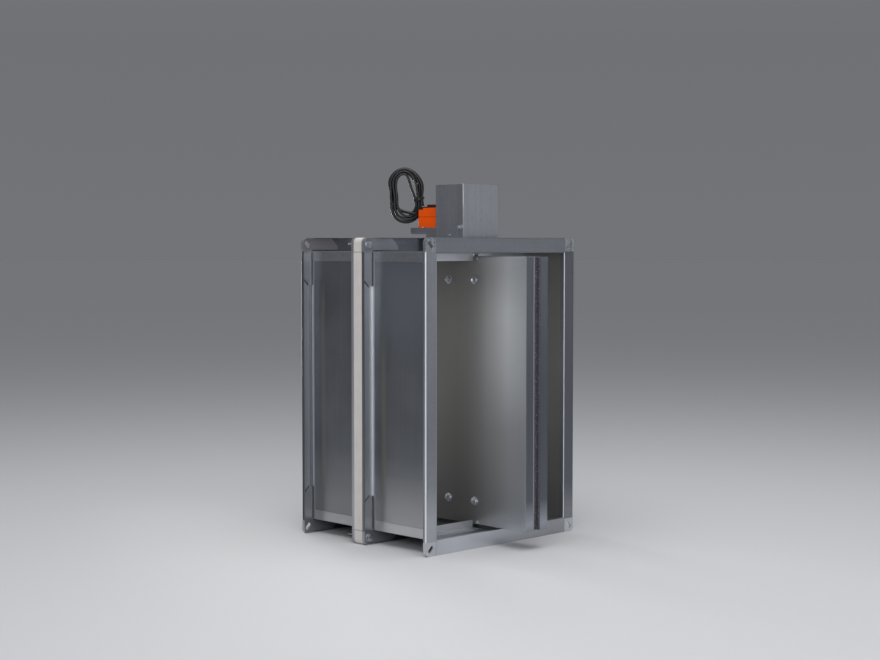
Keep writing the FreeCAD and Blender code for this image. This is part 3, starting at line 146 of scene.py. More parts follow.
# %% [markdown]
# ## A lane for every turn
# One cable starts on the outside of the bundle and works inward, the other starts near the inside
# and works outward, so the strands cross and fan out as in a hank that was wound by hand. The
# bundle is thick at the bottom and on both sides of the top fold, where the turns stand apart, and
# thin where the tie holds it.

# %% Route the two cables
GLANDS_X, GLAND_MOUTH, GLAND_HEIGHT = (-24, -9), 239, 385
GLAND_RUN = (0, 4, 8, 12)
POINTS_PER_TURN = 54
# Room between a cable and the bundle's edge, the width below which the strands pile up sideways,
# and how far they spread for each millimetre that is missing on a side
EDGE_ROOM, FLAT_WIDTH, PILE_UP = 0.3, 22, 1.6
# A hand-wound cable wavers: how far, and how fast along the turn, in its lane and sideways
LANE_WAVER, LANE_PACE = 0.08, 7.9
SIDE_WAVER, SIDE_PACE = 0.8, 5.3
# How far the bundle reaches inward and outward of its middle line, by share of a turn
BUNDLE = [
    (0.00, -15, 17), (0.06, -17, 16), (0.12, -18, 10), (0.20, -15, 4), (0.26, -13, 3), (0.31, -10, 7),
    (0.36, -5, 30), (0.42, -8, 16), (0.50, -10, 13), (0.56, -13, 15), (0.63, -14, 23), (0.69, -12, 26),
    (0.76, -10, 10), (0.79, -9, 9), (0.84, -9, 9), (0.90, -9, 11), (0.96, -13, 15), (1.00, -15, 17),
]


def bundle_edges(turn):
    """Inner and outer edge of the bundle at a share of a turn, eased between the given ones."""
    share = turn % 1
    for (start, inner, outer), (end, next_inner, next_outer) in zip(BUNDLE, BUNDLE[1:]):
        if share <= end:
            ease = (share - start) / (end - start)
            ease = ease * ease * (3 - 2 * ease)
            return inner + (next_inner - inner) * ease, outer + (next_outer - outer) * ease


def route_cable(gland, radius, start_turn, turns, lanes, layer):
    """Points from a gland into the hank, from one lane of the bundle to another."""
    points = [place(gland, GLAND_MOUTH + run, GLAND_HEIGHT) for run in GLAND_RUN]
    steps = int(turns * POINTS_PER_TURN)
    for step in range(2, steps + 1):
        share = step / steps
        turn = start_turn + turns * share
        inner, outer = bundle_edges(turn)
        room = radius + EDGE_ROOM
        waver = LANE_WAVER * math.sin(LANE_PACE * turn + layer)
        lane = min(max(lanes[0] + (lanes[1] - lanes[0]) * share + waver, 0), 1)
        outward = inner + room + (outer - inner - 2 * room) * lane
        crowding = max(0, FLAT_WIDTH - (outer - inner)) / 2
        away = layer + SIDE_WAVER * math.sin(SIDE_PACE * turn) + (lane - 0.5) * crowding * PILE_UP
        (aside, rise), out = middle_of_hank(turn)
        points.append(in_hank(aside + out[0] * outward, rise + out[1] * outward, away))
    return points


CABLE_RADII = (2.8, 3.2)
routes = [
    route_cable(GLANDS_X[0], CABLE_RADII[0], 0.09, 2.85, lanes=(0.95, 0.0), layer=-3.8),
    route_cable(GLANDS_X[1], CABLE_RADII[1], 0.02, 2.84, lanes=(0.3, 1.0), layer=3.8),
]
print("points on the routes:", [len(route) for route in routes])

# %% [markdown]
# ## Let the cables come to rest
# A route worked out on paper kinks, and it runs through its neighbours. A real cable is stiff
# against bending, lies on the next one and is held by the tie. So all points are moved a little,
# many times over: away from a bend, back towards their route, out of any neighbour and into the
# tie. The points in the glands stay where they are, and the fold at the top, which was pressed
# together by hand, keeps nearer to its route than the rest.

# %% Settle the cables
# Shares of each fault that one round takes away: a bend, an overlap, a spill out of the tie
STRAIGHTEN, PUSH_APART, GRIP = 0.05, 0.25, 0.5
# Air between cables, and how many points along the same cable don't count as neighbours
AIR, SAME_STRETCH = 0.2, 6
# Height above which the fold holds its route, how soon it does, and how much better
FOLD_FLOOR, FOLD_FADE, FOLD_HOLD = 460, 8, 12
# Radius inside the tie, half its width with some play, and how far out it catches a cable
TIE_INSIDE, TIE_HALF_WIDTH, TIE_CATCH = 11.6, 5, 30
tie_place, tie_out = on_side(TOP_BEND, NEAR_SIDE, 52)
TIE_MIDDLE = np.array(in_hank(*tie_place)) / mm
TIE_HEADING = np.array(HANK_ALONG * -tie_out[1] + Vector((0, 0, tie_out[0])))


def settle(lines, radii, rounds=500, stiffness=70, held=2):
    """Relax some cables together. Their radii are in millimetres, held is the points in a gland."""
    sizes = [len(line) for line in lines]
    ends = np.cumsum(sizes)
    spans = list(zip(ends - sizes, ends))
    points = np.array([tuple(point / mm) for line in lines for point in line])
    targets = points.copy()
    radius = np.repeat(radii, sizes)
    cable = np.repeat(range(len(lines)), sizes)
    order = np.concatenate([range(size) for size in sizes])
    free = order >= held
    room = radius[:, None] + radius + AIR
    neighbours = (cable[:, None] != cable) | (abs(order[:, None] - order) > SAME_STRETCH)
    hold = 1 + FOLD_HOLD * np.clip((targets[:, 2:] - FOLD_FLOOR) / FOLD_FADE, 0, 1)
    for _ in range(rounds):
        move = STRAIGHTEN / stiffness * hold * (targets - points)
        for start, end in spans:
            line = points[start:end]
            bends = np.pad(line[2:] - 2 * line[1:-1] + line[:-2], ((2, 2), (0, 0)))
            move[start:end] -= STRAIGHTEN * (bends[2:] - 2 * bends[1:-1] + bends[:-2])
        apart = points[:, None] - points
        distance = np.maximum(np.linalg.norm(apart, axis=2), 1e-6)
        sunk = np.where(neighbours, np.maximum(room - distance, 0), 0)
        move += PUSH_APART * (apart * (sunk / distance)[:, :, None]).sum(axis=1)
        reach = points - TIE_MIDDLE
        level = reach @ TIE_HEADING
        off = reach - level[:, None] * TIE_HEADING
        out = np.maximum(np.linalg.norm(off, axis=1), 1e-6)
        caught = (abs(level) < TIE_HALF_WIDTH) & (out < TIE_CATCH)
        spill = np.where(caught, np.maximum(out + radius - TIE_INSIDE, 0), 0)
        move -= GRIP * off * (spill / out)[:, None]
        points[free] += move[free]
    print("deepest overlap left:", round(float(sunk.max()), 2), "mm")
    return [[Vector(point) * mm for point in points[start:end]] for start, end in spans]


settled = settle(routes, CABLE_RADII)

# %% [markdown]
# ## From a line to a cable
# A NURBS curve of order 3 through the settled points gives an even, springy line. Its bevel makes
# it round, and it is turned into a mesh tube, because a curve's box reckons with a point radius
# of one metre. The bare line is kept too: it gives the real length and the ends of the cable.

# %% Wind the two cables


def cable_tube(name, points, radius):
    """A round tube along some points, with its middle line and its length."""
    curve = bpy.data.curves.new(name, "CURVE")
    curve.dimensions = "3D"
    spline = curve.splines.new("NURBS")
    spline.points.add(len(points) - 1)
    for point, target in zip(points, spline.points):
        target.co = (*point, 1)
    spline.order_u = 3
    spline.use_endpoint_u = True
    curve.resolution_u = 2
    route = bpy.data.objects.new(name + "_route", curve)
    bare = bpy.data.meshes.new_from_object(route)
    line = [vertex.co.copy() for vertex in bare.vertices]
    curve.bevel_depth = radius * mm
    curve.bevel_resolution = 4
    curve.use_fill_caps = True
    cable = bpy.data.objects.new(name, bpy.data.meshes.new_from_object(route))
    scene.collection.objects.link(cable)
    bpy.data.objects.remove(route)
    bpy.data.meshes.remove(bare)
    length = sum((b - a).length for a, b in zip(line, line[1:]))
    print(name, "is", round(length, 3), "m long")
    return cable, line, length


supply, supply_line, supply_length = cable_tube("supply_cable_wound", settled[0], CABLE_RADII[0])
signal, signal_line, signal_length = cable_tube("signal_cable_wound", settled[1], CABLE_RADII[1])
for cable, nodes_there in ((supply, ["supply_cable", "cable_hank"]), (signal, ["signal_cable"])):
    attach(cable, "casing")
    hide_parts(*nodes_there)

# %% [markdown]
# ## Colours and shader nodes
# Colours are chosen as sRGB hex codes, as a colour picker gives them, and one function turns them
# into the linear values that Blender works with. A second function adds one shader node.

# %% Colour and node helpers


def linear(part):
    """One colour channel from 0 to 1, turned from sRGB to linear."""
    return part / 12.92 if part <= 0.04045 else ((part + 0.055) / 1.055) ** 2.4


def colour(code):
    """Linear RGBA from an sRGB hex code."""
    return (*[linear(int(code[i:i + 2], 16) / 255) for i in (0, 2, 4)], 1)


def add_node(tree, kind, inputs=None, **settings):
    """Add one shader node with its settings, plain values and links."""
    made = tree.nodes.new("ShaderNode" + kind)
    for name, value in settings.items():
        setattr(made, name, value)
    for socket, value in (inputs or {}).items():
        if isinstance(value, bpy.types.NodeSocket):
            tree.links.new(value, made.inputs[socket])
        else:
            made.inputs[socket].default_value = value
    return made


def new_material(name):
    """A material with its tree, its shader and the coordinates of the piece."""
    material = bpy.data.materials.new(name)
    material.use_nodes = True
    tree = material.node_tree
    tree.nodes.clear()
    shader = add_node(tree, "BsdfPrincipled")
    add_node(tree, "OutputMaterial", {"Surface": shader.outputs[0]})
    spots = add_node(tree, "TexCoord").outputs["Object"]
    return material, tree, shader, spots


def per_metre(millimetres):
    """The scale of a pattern whose features are that size."""
    return 1000 / millimetres


print("a mid grey counts as", round(colour("808080")[0], 3), "of white")

# %% [markdown]
# ## Bands of another tone
# One long sheet doesn't look the same all over: a fold catches a lamp, a foot picks up the pale
# floor, a gap shows nothing but dark. Here this light and shade is painted into the colour: painted
# highlights on folds, painted floor light at feet and painted shadow in gaps. A texture could be
# painted by hand, but a band between two lengths is easier to place and stays sharp at any size.
# So a zone is a box of lengths, read from the piece's own coordinates, and it holds in every view
# because it doesn't ask for the camera.

# %% Helpers for zones
# How far a zone fades to both sides of its end, in millimetres
SOFT_END = 0.4


def within(tree, value, low, high, soft=SOFT_END):
    """1 where a length in millimetres lies between two others, with soft ends."""
    rise, fall = [add_node(tree, "MapRange", {
        "Value": value, "From Min": (end - outside) * mm, "From Max": (end + outside) * mm,
    }).outputs[0] for end, outside in ((low, soft), (high, -soft))]
    return add_node(tree, "Math", {0: rise, 1: fall}, operation="MULTIPLY").outputs[0]


def zones(tree, spots, boxes):
    """1 inside any of some boxes, given in millimetres.

    X and Z count from the middle of the duct to both sides, across, Y and up run one way, and
    slant is |Z| - |X|, which stays the same along a corner's mitre.
    """
    parts = add_node(tree, "SeparateXYZ", {"Vector": spots}).outputs
    lengths = {"across": parts["X"], "Y": parts["Y"], "up": parts["Z"]}
    for axis in "XZ":
        lengths[axis] = add_node(tree, "Math", {0: parts[axis]}, operation="ABSOLUTE").outputs[0]
    lengths["slant"] = add_node(
        tree, "Math", {0: lengths["Z"], 1: lengths["X"]}, operation="SUBTRACT").outputs[0]
    total = None
    for box in boxes:
        share = None
        for axis, limits in box.items():
            inside = within(tree, lengths[axis], *limits)
            share = inside if share is None else add_node(
                tree, "Math", {0: share, 1: inside}, operation="MULTIPLY").outputs[0]
        total = share if total is None else add_node(
            tree, "Math", {0: total, 1: share}, operation="MAXIMUM").outputs[0]
    return total


def marked(tree, spots, plain, marks):
    """A colour with zones of other colours laid over it, the later ones on top."""
    for code, boxes in marks:
        plain = add_node(tree, "Mix", {
            0: zones(tree, spots, boxes), 6: plain, 7: colour(code),
        }, data_type="RGBA").outputs[2]
    return plain


print("a zone fades over", 2 * SOFT_END, "mm at each end unless it says else")

# %% [markdown]
# ## Zinc on steel
# Galvanised sheet was drawn through molten zinc. It isn't a mirror: the rolls leave a fine grain
# along the sheet, the bath leaves soft clouds, and the zinc freezes into crystals. Three textures
# give these three, and their sum sets colour and roughness together, so that a paler crystal is
# also a little duller. A photograph of sheet would repeat and would carry its own lamps with it.

# %% Galvanised sheet
# Along its rolling direction the grain is drawn out about thirty times
GRAIN = {"X": (0.03, 1, 1), "Y": (1, 0.03, 1), "Z": (1, 1, 0.03)}
# Real grain and crystals are finer than a millimetre, but one pixel of the picture covers two. So
# both are drawn coarser than they are, as coarse as they need to be to show
STREAK_MM, CLOUD_MM, CRYSTAL_MM = 8, 120, 2.6
# Between these sums the sheet goes from its dark to its light tone
DARKEST, LIGHTEST = 0.3, 0.7
SMOOTHER, ROUGHER = 0.04, 0.05
# A little less than bare metal, because zinc dulls to a thin chalky skin
ZINC_METAL = 0.8


def galvanised(name, grain, base, light, rough, spangle_mm=CRYSTAL_MM, spangle=0.15, streak=0.5, marks=()):
    """Zinc on steel: rolling grain, soft clouds and fine crystals, with zones of other colours for painted
    light and shade.
    """
    material, tree, shader, spots = new_material(name)
    drawn_out = add_node(tree, "Mapping", {"Vector": spots, "Scale": GRAIN[grain]}).outputs[0]
    streaks, clouds = [add_node(tree, "TexNoise", {
        "Vector": where, "Scale": per_metre(size), "Detail": 2.0, "Roughness": 0.5,
    }).outputs["Fac"] for where, size in ((drawn_out, STREAK_MM), (spots, CLOUD_MM))]
    crystals = add_node(tree, "TexVoronoi", {
        "Vector": spots, "Scale": per_metre(spangle_mm), "Randomness": 1.0,
    }).outputs["Color"]
    crystal = add_node(tree, "SeparateColor", {"Color": crystals}).outputs[0]
    tone = add_node(tree, "Math", {0: streaks, 1: streak}, operation="MULTIPLY").outputs[0]
    for texture, weight in ((clouds, 1 - streak - spangle), (crystal, spangle)):
        tone = add_node(
            tree, "Math", {0: texture, 1: weight, 2: tone}, operation="MULTIPLY_ADD").outputs[0]
    limits = {"Value": tone, "From Min": DARKEST, "From Max": LIGHTEST}
    share = add_node(tree, "MapRange", limits).outputs[0]
    plain = add_node(tree, "Mix", {0: share, 6: colour(base), 7: colour(light)}, data_type="RGBA")
    tree.links.new(marked(tree, spots, plain.outputs[2], marks), shader.inputs["Base Color"])
    limits.update({"To Min": rough - SMOOTHER, "To Max": rough + ROUGHER})
    tree.links.new(add_node(tree, "MapRange", limits).outputs[0], shader.inputs["Roughness"])
    shader.inputs["Metallic"].default_value = ZINC_METAL
    return material


print("grain", STREAK_MM, "mm, clouds", CLOUD_MM, "mm, crystals mostly", CRYSTAL_MM, "mm")

# %% [markdown]
# ## Moulded and sawn surfaces
# Plastic, rubber and mineral board have no metal in them: their colour goes right through. What
# tells them apart is how dull they are, how coarse their surface is, and whether pale specks show.
# One function covers them all. The coarse surface is a bump, because it is finer than any edge
# that a mesh could carry.

# %% Plain mouldings and boards
# Real specks are finer than a pixel, so they too are drawn as coarse as they need to be to show
BLOTCH_MM, SPECK_MM = 25, 3
DARKER, PALER, ROUGH_SPREAD = 0.88, 1.1, 0.06
# The noise is a flake from the first value up, and its full colour from the second
FLAKE_EDGE, FLAKE_MIDDLE = 0.58, 0.7
# The coarse surface stands out by a fifth of a millimetre
RELIEF = 0.2 * mm


def moulded(name, code, rough, grain_mm=0.8, bump=0.15, specular=0.5, marks=(), specks=None):
    """A plain dull surface with a fine texture, zones of other colours and pale specks."""
    material, tree, shader, spots = new_material(name)
    blotch, texture = [add_node(tree, "TexNoise", {
        "Vector": spots, "Scale": per_metre(size), "Detail": detail,
    }).outputs["Fac"] for size, detail in ((BLOTCH_MM, 4.0), (grain_mm, 2.0))]
    plain = add_node(tree, "RGB").outputs[0]
    plain.default_value = colour(code)
    plain = marked(tree, spots, plain, marks)
    if specks:
        flakes = add_node(tree, "TexNoise", {
            "Vector": spots, "Scale": per_metre(SPECK_MM), "Detail": 3.0}).outputs["Fac"]
        share = add_node(tree, "MapRange", {
            "Value": flakes, "From Min": FLAKE_EDGE, "From Max": FLAKE_MIDDLE}).outputs[0]
        plain = add_node(
            tree, "Mix", {0: share, 6: plain, 7: colour(specks)}, data_type="RGBA").outputs[2]
    brightness, roughness = [add_node(tree, "MapRange", {
        "Value": blotch, "To Min": low, "To Max": high,
    }).outputs[0] for low, high in ((DARKER, PALER), (rough - ROUGH_SPREAD, rough + ROUGH_SPREAD))]
    tint = add_node(tree, "HueSaturation", {"Color": plain, "Value": brightness}).outputs[0]
    tree.links.new(tint, shader.inputs["Base Color"])
    tree.links.new(roughness, shader.inputs["Roughness"])
    shader.inputs["Specular IOR Level"].default_value = specular
    raised = add_node(tree, "Bump", {"Height": texture, "Strength": bump, "Distance": RELIEF}).outputs[0]
    tree.links.new(raised, shader.inputs["Normal"])
    return material


print("moulded surfaces vary by", ROUGH_SPREAD, "in roughness")

# %% [markdown]
# ## Zones on the frames
# The flange frames are rolled from one strip, and each has folded edges, corner legs that sit in
# its profile and a mitre at each end. A fold is given a painted highlight, a thin bright line, and a
# joint a painted shadow, a thin dark one. Both are far thinner than the strip, so they are bands on
# it and not pieces. Broader painted light and shade lies on the rear frames, the feet, the right face
# and the returns.

# %% Zones on the frames
# Boxes of lengths in millimetres: low end, high end, and how softly both fade
LEG_END = 227
# Painted highlights: thin bright lines where the outer and inner folds would catch a lamp
LEFT_FOLD_HIGHLIGHT = {"across": (-232, -229), "Y": (-1, 2.6)}
LEFT_INNER_FOLD_HIGHLIGHT = {"across": (-201, -198), "Y": (-1, 1.6), "Z": (-1, 302)}
RIGHT_INNER_FOLD_HIGHLIGHT = {"across": (198, 200.6), "Y": (-1, 1.6), "Z": (-1, 302)}
# Painted shade: the outlet's outer fold is darkened, so that it shows no highlight from the lamp behind the
# duct
OUTLET_FOLD_SHADE = {"across": (-232, -229), "Y": (394.5, 401)}
# Painted highlights along the bends where the legs grip the panels
GRIPPING_LEG_HIGHLIGHTS = [
    {"X": (201.2, 203.6), "Y": (392.4, 397.4), "Z": (-1, LEG_END)},
    {"X": (201.2, 203.6), "Y": (192.2, 196.8), "Z": (-1, LEG_END)},
]
# Painted shade on the folds of the legs at the rear of each frame
LEG_FOLD_SHADES = [
    {"X": (201.2, 210), "Y": (397.8, 400), "Z": (-1, LEG_END)},
    {"X": (201.2, 210), "Y": (197.2, 199), "Z": (-1, LEG_END)},
]
# Painted shade on the frames' side returns
RETURN_SHADES = [{"X": (229.6, 232.5), "Y": (391, 401)}, {"X": (229.6, 232.5), "Y": (189, 199)}]
# Painted shadow: near-black lines in the gaps at the corner legs' slanted ends and beside them
LEG_GAP_SHADOWS = [
    {"slant": (11.7, 14.2), "X": (212, 230), "Y": (186, 399.2)},
    {"X": (202.9, 205.2), "Z": (LEG_END, 300), "Y": (186, 400)},
]
# Painted shadow in the gaps at the level rails' mitres
LEVEL_GAP_SHADOWS = [{"slant": (185.8, 187.4), "Z": (312, 330), "Y": (186, 399.2)}]
# Painted light: the rear frames are painted paler
REAR_SIDE_LIGHT = {"Y": (180, 420)}
# Painted shade: the right face of the inlet frame is painted darker
RIGHT_FACE_SHADE = {"across": (196, 235), "Y": (-1, 3)}
# Painted light from the pale floor on the feet of the inlet frame, its low rail and the low corners, strongest
# on the left
LEFT_FOOT_FLOOR_LIGHT = {"across": (-240, 0), "Y": (-1, 3), "up": (-340, -220, 40)}
RIGHT_FOOT_FLOOR_LIGHT = {"across": (0, 240), "Y": (-1, 3), "up": (-340, -250, 30)}
LOW_RAIL_FLOOR_LIGHT = {"Y": (-1, 9), "up": (-340, -280)}
LOW_RAIL_LEFT_FLOOR_LIGHT = {"Y": (-1, 9), "up": (-340, -280), "across": (-250, 60, 100)}
LOW_CORNER_FLOOR_LIGHT = {"Y": (-1, 9), "up": (-340, -296)}
# Painted shadow in the joints at the foot of the corner pressings
CORNER_JOINT_SHADOWS = {"Y": (-1, 1), "up": (-331, -302), "X": (200.8, 202)}
print("the corner legs end", LEG_END, "mm above and below the middle")

# %% [markdown]
# ## Zones on the sheets, the blade and the cover
# Large sheets are painted with a slow shade from end to end. Near the floor they are painted paler,
# as lit by the floor, inside the duct they see only each other and are painted lighter, and the blade
# is painted dark where it turns away from the opening.

# %% Zones on the sheets, the blade and the cover
# Painted light on the duct's inner faces
DUCT_INSIDE_LIGHT = {"X": (-1, 200.6), "Z": (-1, 300.6)}
# Painted sheen: two soft vertical bands of reflection on the side panels
PANEL_SHEEN = [
    {"X": (201, 203), "Y": (357, 366, 6), "up": (-215, 215, 30)},
    {"X": (201, 203), "Y": (157, 168, 7), "up": (-230, 120, 60)},
]
# Painted floor light on the feet of the side panels, and painted light on the front panel's upper part
PANEL_FOOT_FLOOR_LIGHT = {"X": (201, 203), "up": (-340, -190, 60)}
FRONT_PANEL_FOOT_FLOOR_LIGHT = {"X": (201, 203), "Y": (0, 196), "up": (-340, -225, 50)}
FRONT_PANEL_HEAD_LIGHT = {"X": (201, 203), "Y": (0, 196), "up": (130, 320, 80)}
# Painted floor light on the low lips of the top and bottom sheets
LOW_LIP_FLOOR_LIGHT = {"X": (201, 205), "up": (-310, -270)}
FRONT_LOW_LIP_FLOOR_LIGHT = {"X": (201, 205), "Y": (0, 196), "up": (-310, -270)}
# Painted shade on the blade's front edge strips, painted light at their foot and a painted highlight down one
# edge fold
BLADE_EDGE_SHADE = {"Y": (-101, -99.2)}
BLADE_EDGE_FOOT_LIGHT = {"Y": (-101, -99.2), "up": (-300, -250, 25)}
BLADE_EDGE_FOLD_HIGHLIGHT = {"Y": (-101, -99), "across": (-12, -9)}
# Painted shade on the blade, deepest from Y 62 to 118 mm and going on towards the rear, and painted light at
# its top and towards the opening
BLADE_SHADE = {"Y": (62, 118, 45)}
BLADE_REAR_SHADE = {"Y": (30, 400, 75)}
BLADE_HEAD_LIGHT = {"Y": (-99, 10, 50), "up": (40, 300, 120)}
BLADE_FRONT_LIGHT = {"Y": (-99, -30, 60)}
# Painted highlight: a bright line down the cover's front fold
COVER_FOLD_HIGHLIGHT = {"X": (54.4, 56), "Y": (66, 67.8), "up": (404, 449, 10)}
BOARD_STEP = {"X": (225, 233), "Z": (300, 301.3)}
# Painted shade on zinc from Y 228 to 262 mm, where the joint bolts' thread ends stand
BOLT_THREAD_SHADE = {"Y": (228, 262)}
HOUSING_SEAM = {"up": (377.6, 378.4, 0.2)}
HOUSING_DECK = {"up": (398.4, 420)}
print("the blade's face is darkest at Y", BLADE_SHADE["Y"][0], "to", BLADE_SHADE["Y"][1], "mm")

# %% [markdown]
# ## Finishes of the casing and its frames
# All of it is the same galvanised steel, but no two shapes show it alike: a flat panel mirrors
# the dark room softly, a rolled frame is paler, and a corner pressing was made of thicker sheet
# with small, strong crystals. Their zones carry painted light and shade.

# %% Finishes of the casing and its frames
# Hot-dip galvanised sheet, cut flat: calm and dark, with two painted sheen bands, painted floor
# light at its foot, painted light on the front half's head and painted light inside the duct
panel_steel = galvanised(
    "galvanised_side_sheet", "Z", "6A6D74", "7C7F85", 0.33, spangle=0.06, streak=0.2, marks=[
        ("9C9C98", [DUCT_INSIDE_LIGHT]), ("8E9092", [PANEL_FOOT_FLOOR_LIGHT]), ("ACADAF", [FRONT_PANEL_FOOT_FLOOR_LIGHT]),
        ("868B92", [FRONT_PANEL_HEAD_LIGHT]), ("94938A", PANEL_SHEEN)])
# Roll-formed strip: the grain runs up the profile, its folds carry painted highlights as thin bright
# lines, its gaps painted shadow, its rear frames and feet painted light and its returns painted shade
frame_upright = galvanised(
    "rolled_frame_upright", "Z", "868990", "999CA2", 0.34, streak=0.35, marks=[
        ("B6B9BE", [REAR_SIDE_LIGHT]), ("6A6D74", [RIGHT_FACE_SHADE]), ("B4B7BC", [LEFT_FOOT_FLOOR_LIGHT]),
        ("8A8D92", [RIGHT_FOOT_FLOOR_LIGHT]), ("A8ACB2", [LEFT_INNER_FOLD_HIGHLIGHT]),
        ("F0F3F8", [LEFT_FOLD_HIGHLIGHT, RIGHT_INNER_FOLD_HIGHLIGHT, *GRIPPING_LEG_HIGHLIGHTS]), ("74777D", RETURN_SHADES),
        ("7A7D83", LEG_FOLD_SHADES), ("3C3F44", [OUTLET_FOLD_SHADE]), ("16181A", LEG_GAP_SHADOWS)])
# The same strip laid level: the grain runs across the duct, the low rail is painted pale with the
# floor's light, and the gaps at its mitres are painted shadow
frame_level = galvanised(
    "rolled_frame_level", "X", "72757C", "888B92", 0.33, streak=0.35, marks=[
        ("A6A8AC", [LOW_RAIL_FLOOR_LIGHT]), ("D2D5DC", [LOW_RAIL_LEFT_FLOOR_LIGHT]), ("3A3C40", LEVEL_GAP_SHADOWS)])
# Folded sheet above and below: its lips lie over the sides as narrow bands, painted pale near the
# floor with its light
casing_level = galvanised(
    "galvanised_top_and_bottom_sheet", "X", "86898F", "9DA0A6", 0.33, streak=0.35, marks=[
        ("B6B8BA", [LOW_LIP_FLOOR_LIGHT]), ("CACBCD", [FRONT_LOW_LIP_FLOOR_LIGHT])])
# Short bent angles inside the duct: painted as the brightest zinc, for the light they get from the
# opening
stop_steel = galvanised("galvanised_stop_angle", "X", "B4B7BC", "C8CBD0", 0.33)
# Deep-drawn thick sheet: small crystals that sparkle a little around the slots; painted paler at the
# rear and near the floor, with painted shadow in the joints at the foot
corner_steel = galvanised(
    "spangled_corner_pressing", "Z", "74777D", "B4B8BE", 0.35, 1.8, 0.4, marks=[
        ("A8ABB0", [REAR_SIDE_LIGHT]), ("CCCFD4", [LOW_CORNER_FLOOR_LIGHT]), ("1E2022", [CORNER_JOINT_SHADOWS])])
print("shader nodes in the frame's finish:", len(frame_upright.node_tree.nodes))

# %% [markdown]
# ## Finishes of the blade, the drive and the fixings
# The blade's cassettes and the cover are bent from galvanised sheet as well. Bolts are plated
# thinly and stay bright, turned parts show bare steel, and the bushes are pressed from bronze
# powder. Brass is a copper alloy, so its colour comes from the metal itself.

# %% Finishes of the blade, the drive and the fixings
# Bent cover sheet: even and cool, with one painted highlight, a bright line down its front fold
cover_steel = galvanised(
    "galvanised_cover_sheet", "Z", "8E9197", "A3A6AD", 0.34, marks=[("E4E8EE", [COVER_FOLD_HIGHLIGHT])])
# Bent console sheet: darker, with its grain running along the duct
console_steel = galvanised("galvanised_console_sheet", "Y", "7C7F86", "92959C", 0.34)
# Large smooth cassettes: painted light towards the opening and at the top, painted shade towards the
# rear and on the front edge strips, painted light at the strips' foot and a painted highlight on one fold
blade_steel = galvanised(
    "galvanised_blade_sheet", "Z", "A0A2A4", "AAACAE", 0.33, spangle=0.05, marks=[
        ("C8CBD0", [BLADE_FRONT_LIGHT]), ("E6E9EE", [BLADE_HEAD_LIGHT]), ("868685", [BLADE_REAR_SHADE]),
        ("6E6E6D", [BLADE_SHADE]), ("62666E", [BLADE_EDGE_SHADE]), ("A4A8B0", [BLADE_EDGE_FOOT_LIGHT]),
        ("A0A4AA", [BLADE_EDGE_FOLD_HIGHLIGHT])])
# Electroplated zinc: thin and smooth, so a bolt head glints; painted shade where the joint bolts'
# thread ends stand
zinc = galvanised(
    "zinc_plated_fixing", "X", "AEB2BA", "D0D4DA", 0.22, 1.0, 0.1, marks=[("5A5D62", [BOLT_THREAD_SHADE])])
# Turned steel: bare, cut smooth, with a plain grey shine
turned_steel = galvanised("turned_steel", "X", "8C8E92", "A4A6AA", 0.22, 1.0, 0.05)
# Pressed and sintered powder: brown and dull for a metal, because it is full of pores
bronze = galvanised("sintered_bronze", "X", "5E5240", "7A6A54", 0.45, 1.0)
# Drawn tube: a smooth yellow shine
brass = galvanised("drawn_brass", "Z", "B8964E", "D2B26C", 0.22, 1.0, 0.05)
print("shader nodes in the blade's finish:", len(blade_steel.node_tree.nodes))

# %% [markdown]
# ## Finishes of boards, rubber and plastics
# The damper's strong colours and its black are all here, so these pieces draw the eye: the pale
# board between two grey frames, the orange housing and the black hank.

# %% Finishes of boards, rubber and plastics
# Sawn calcium silicate: chalky, almost white, with a rough edge that throws tiny shadows
board = moulded(
    "sawn_mineral_board", "DED8D4", 0.85, 1.5, 0.5, 0.3, marks=[("8C8680", [BOARD_STEP])])
# The blade's own board is almost black and dull
dark_board = moulded("dark_mineral_board", "2A2624", 0.8)
# Extruded strip that swells in heat: waxy, with pale flakes
seal_rubber = moulded("extruded_seal_rubber", "4A4650", 0.35, 5.0, 0.9, specks="9A9AA4")
# Injection-moulded ABS: a full colour under a soft sheen, with a dark seam and deck
orange = moulded("orange_abs_housing", "FF5C00", 0.4, specular=0.2, marks=[
    ("7C2C06", [HOUSING_SEAM]), ("2C2624", [HOUSING_DECK])])
# Moulded plastic: not quite black, so that its edges still read
black = moulded("black_moulded_plastic", "141416", 0.5)
# Moulded and a little glossier: small red signals
red = moulded("red_moulded_plastic", "B01E14", 0.35)
# Extruded soft PVC: a soft highlight runs along each strand
sheath = moulded("black_cable_sheath", "1C1C1F", 0.4, 1.0, 0.15)
print("shader nodes in the housing's finish:", len(orange.node_tree.nodes))

# %% [markdown]
# ## Dress every node
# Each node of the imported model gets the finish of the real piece. A table keeps it easy to see
# which pieces were made of the same stock.

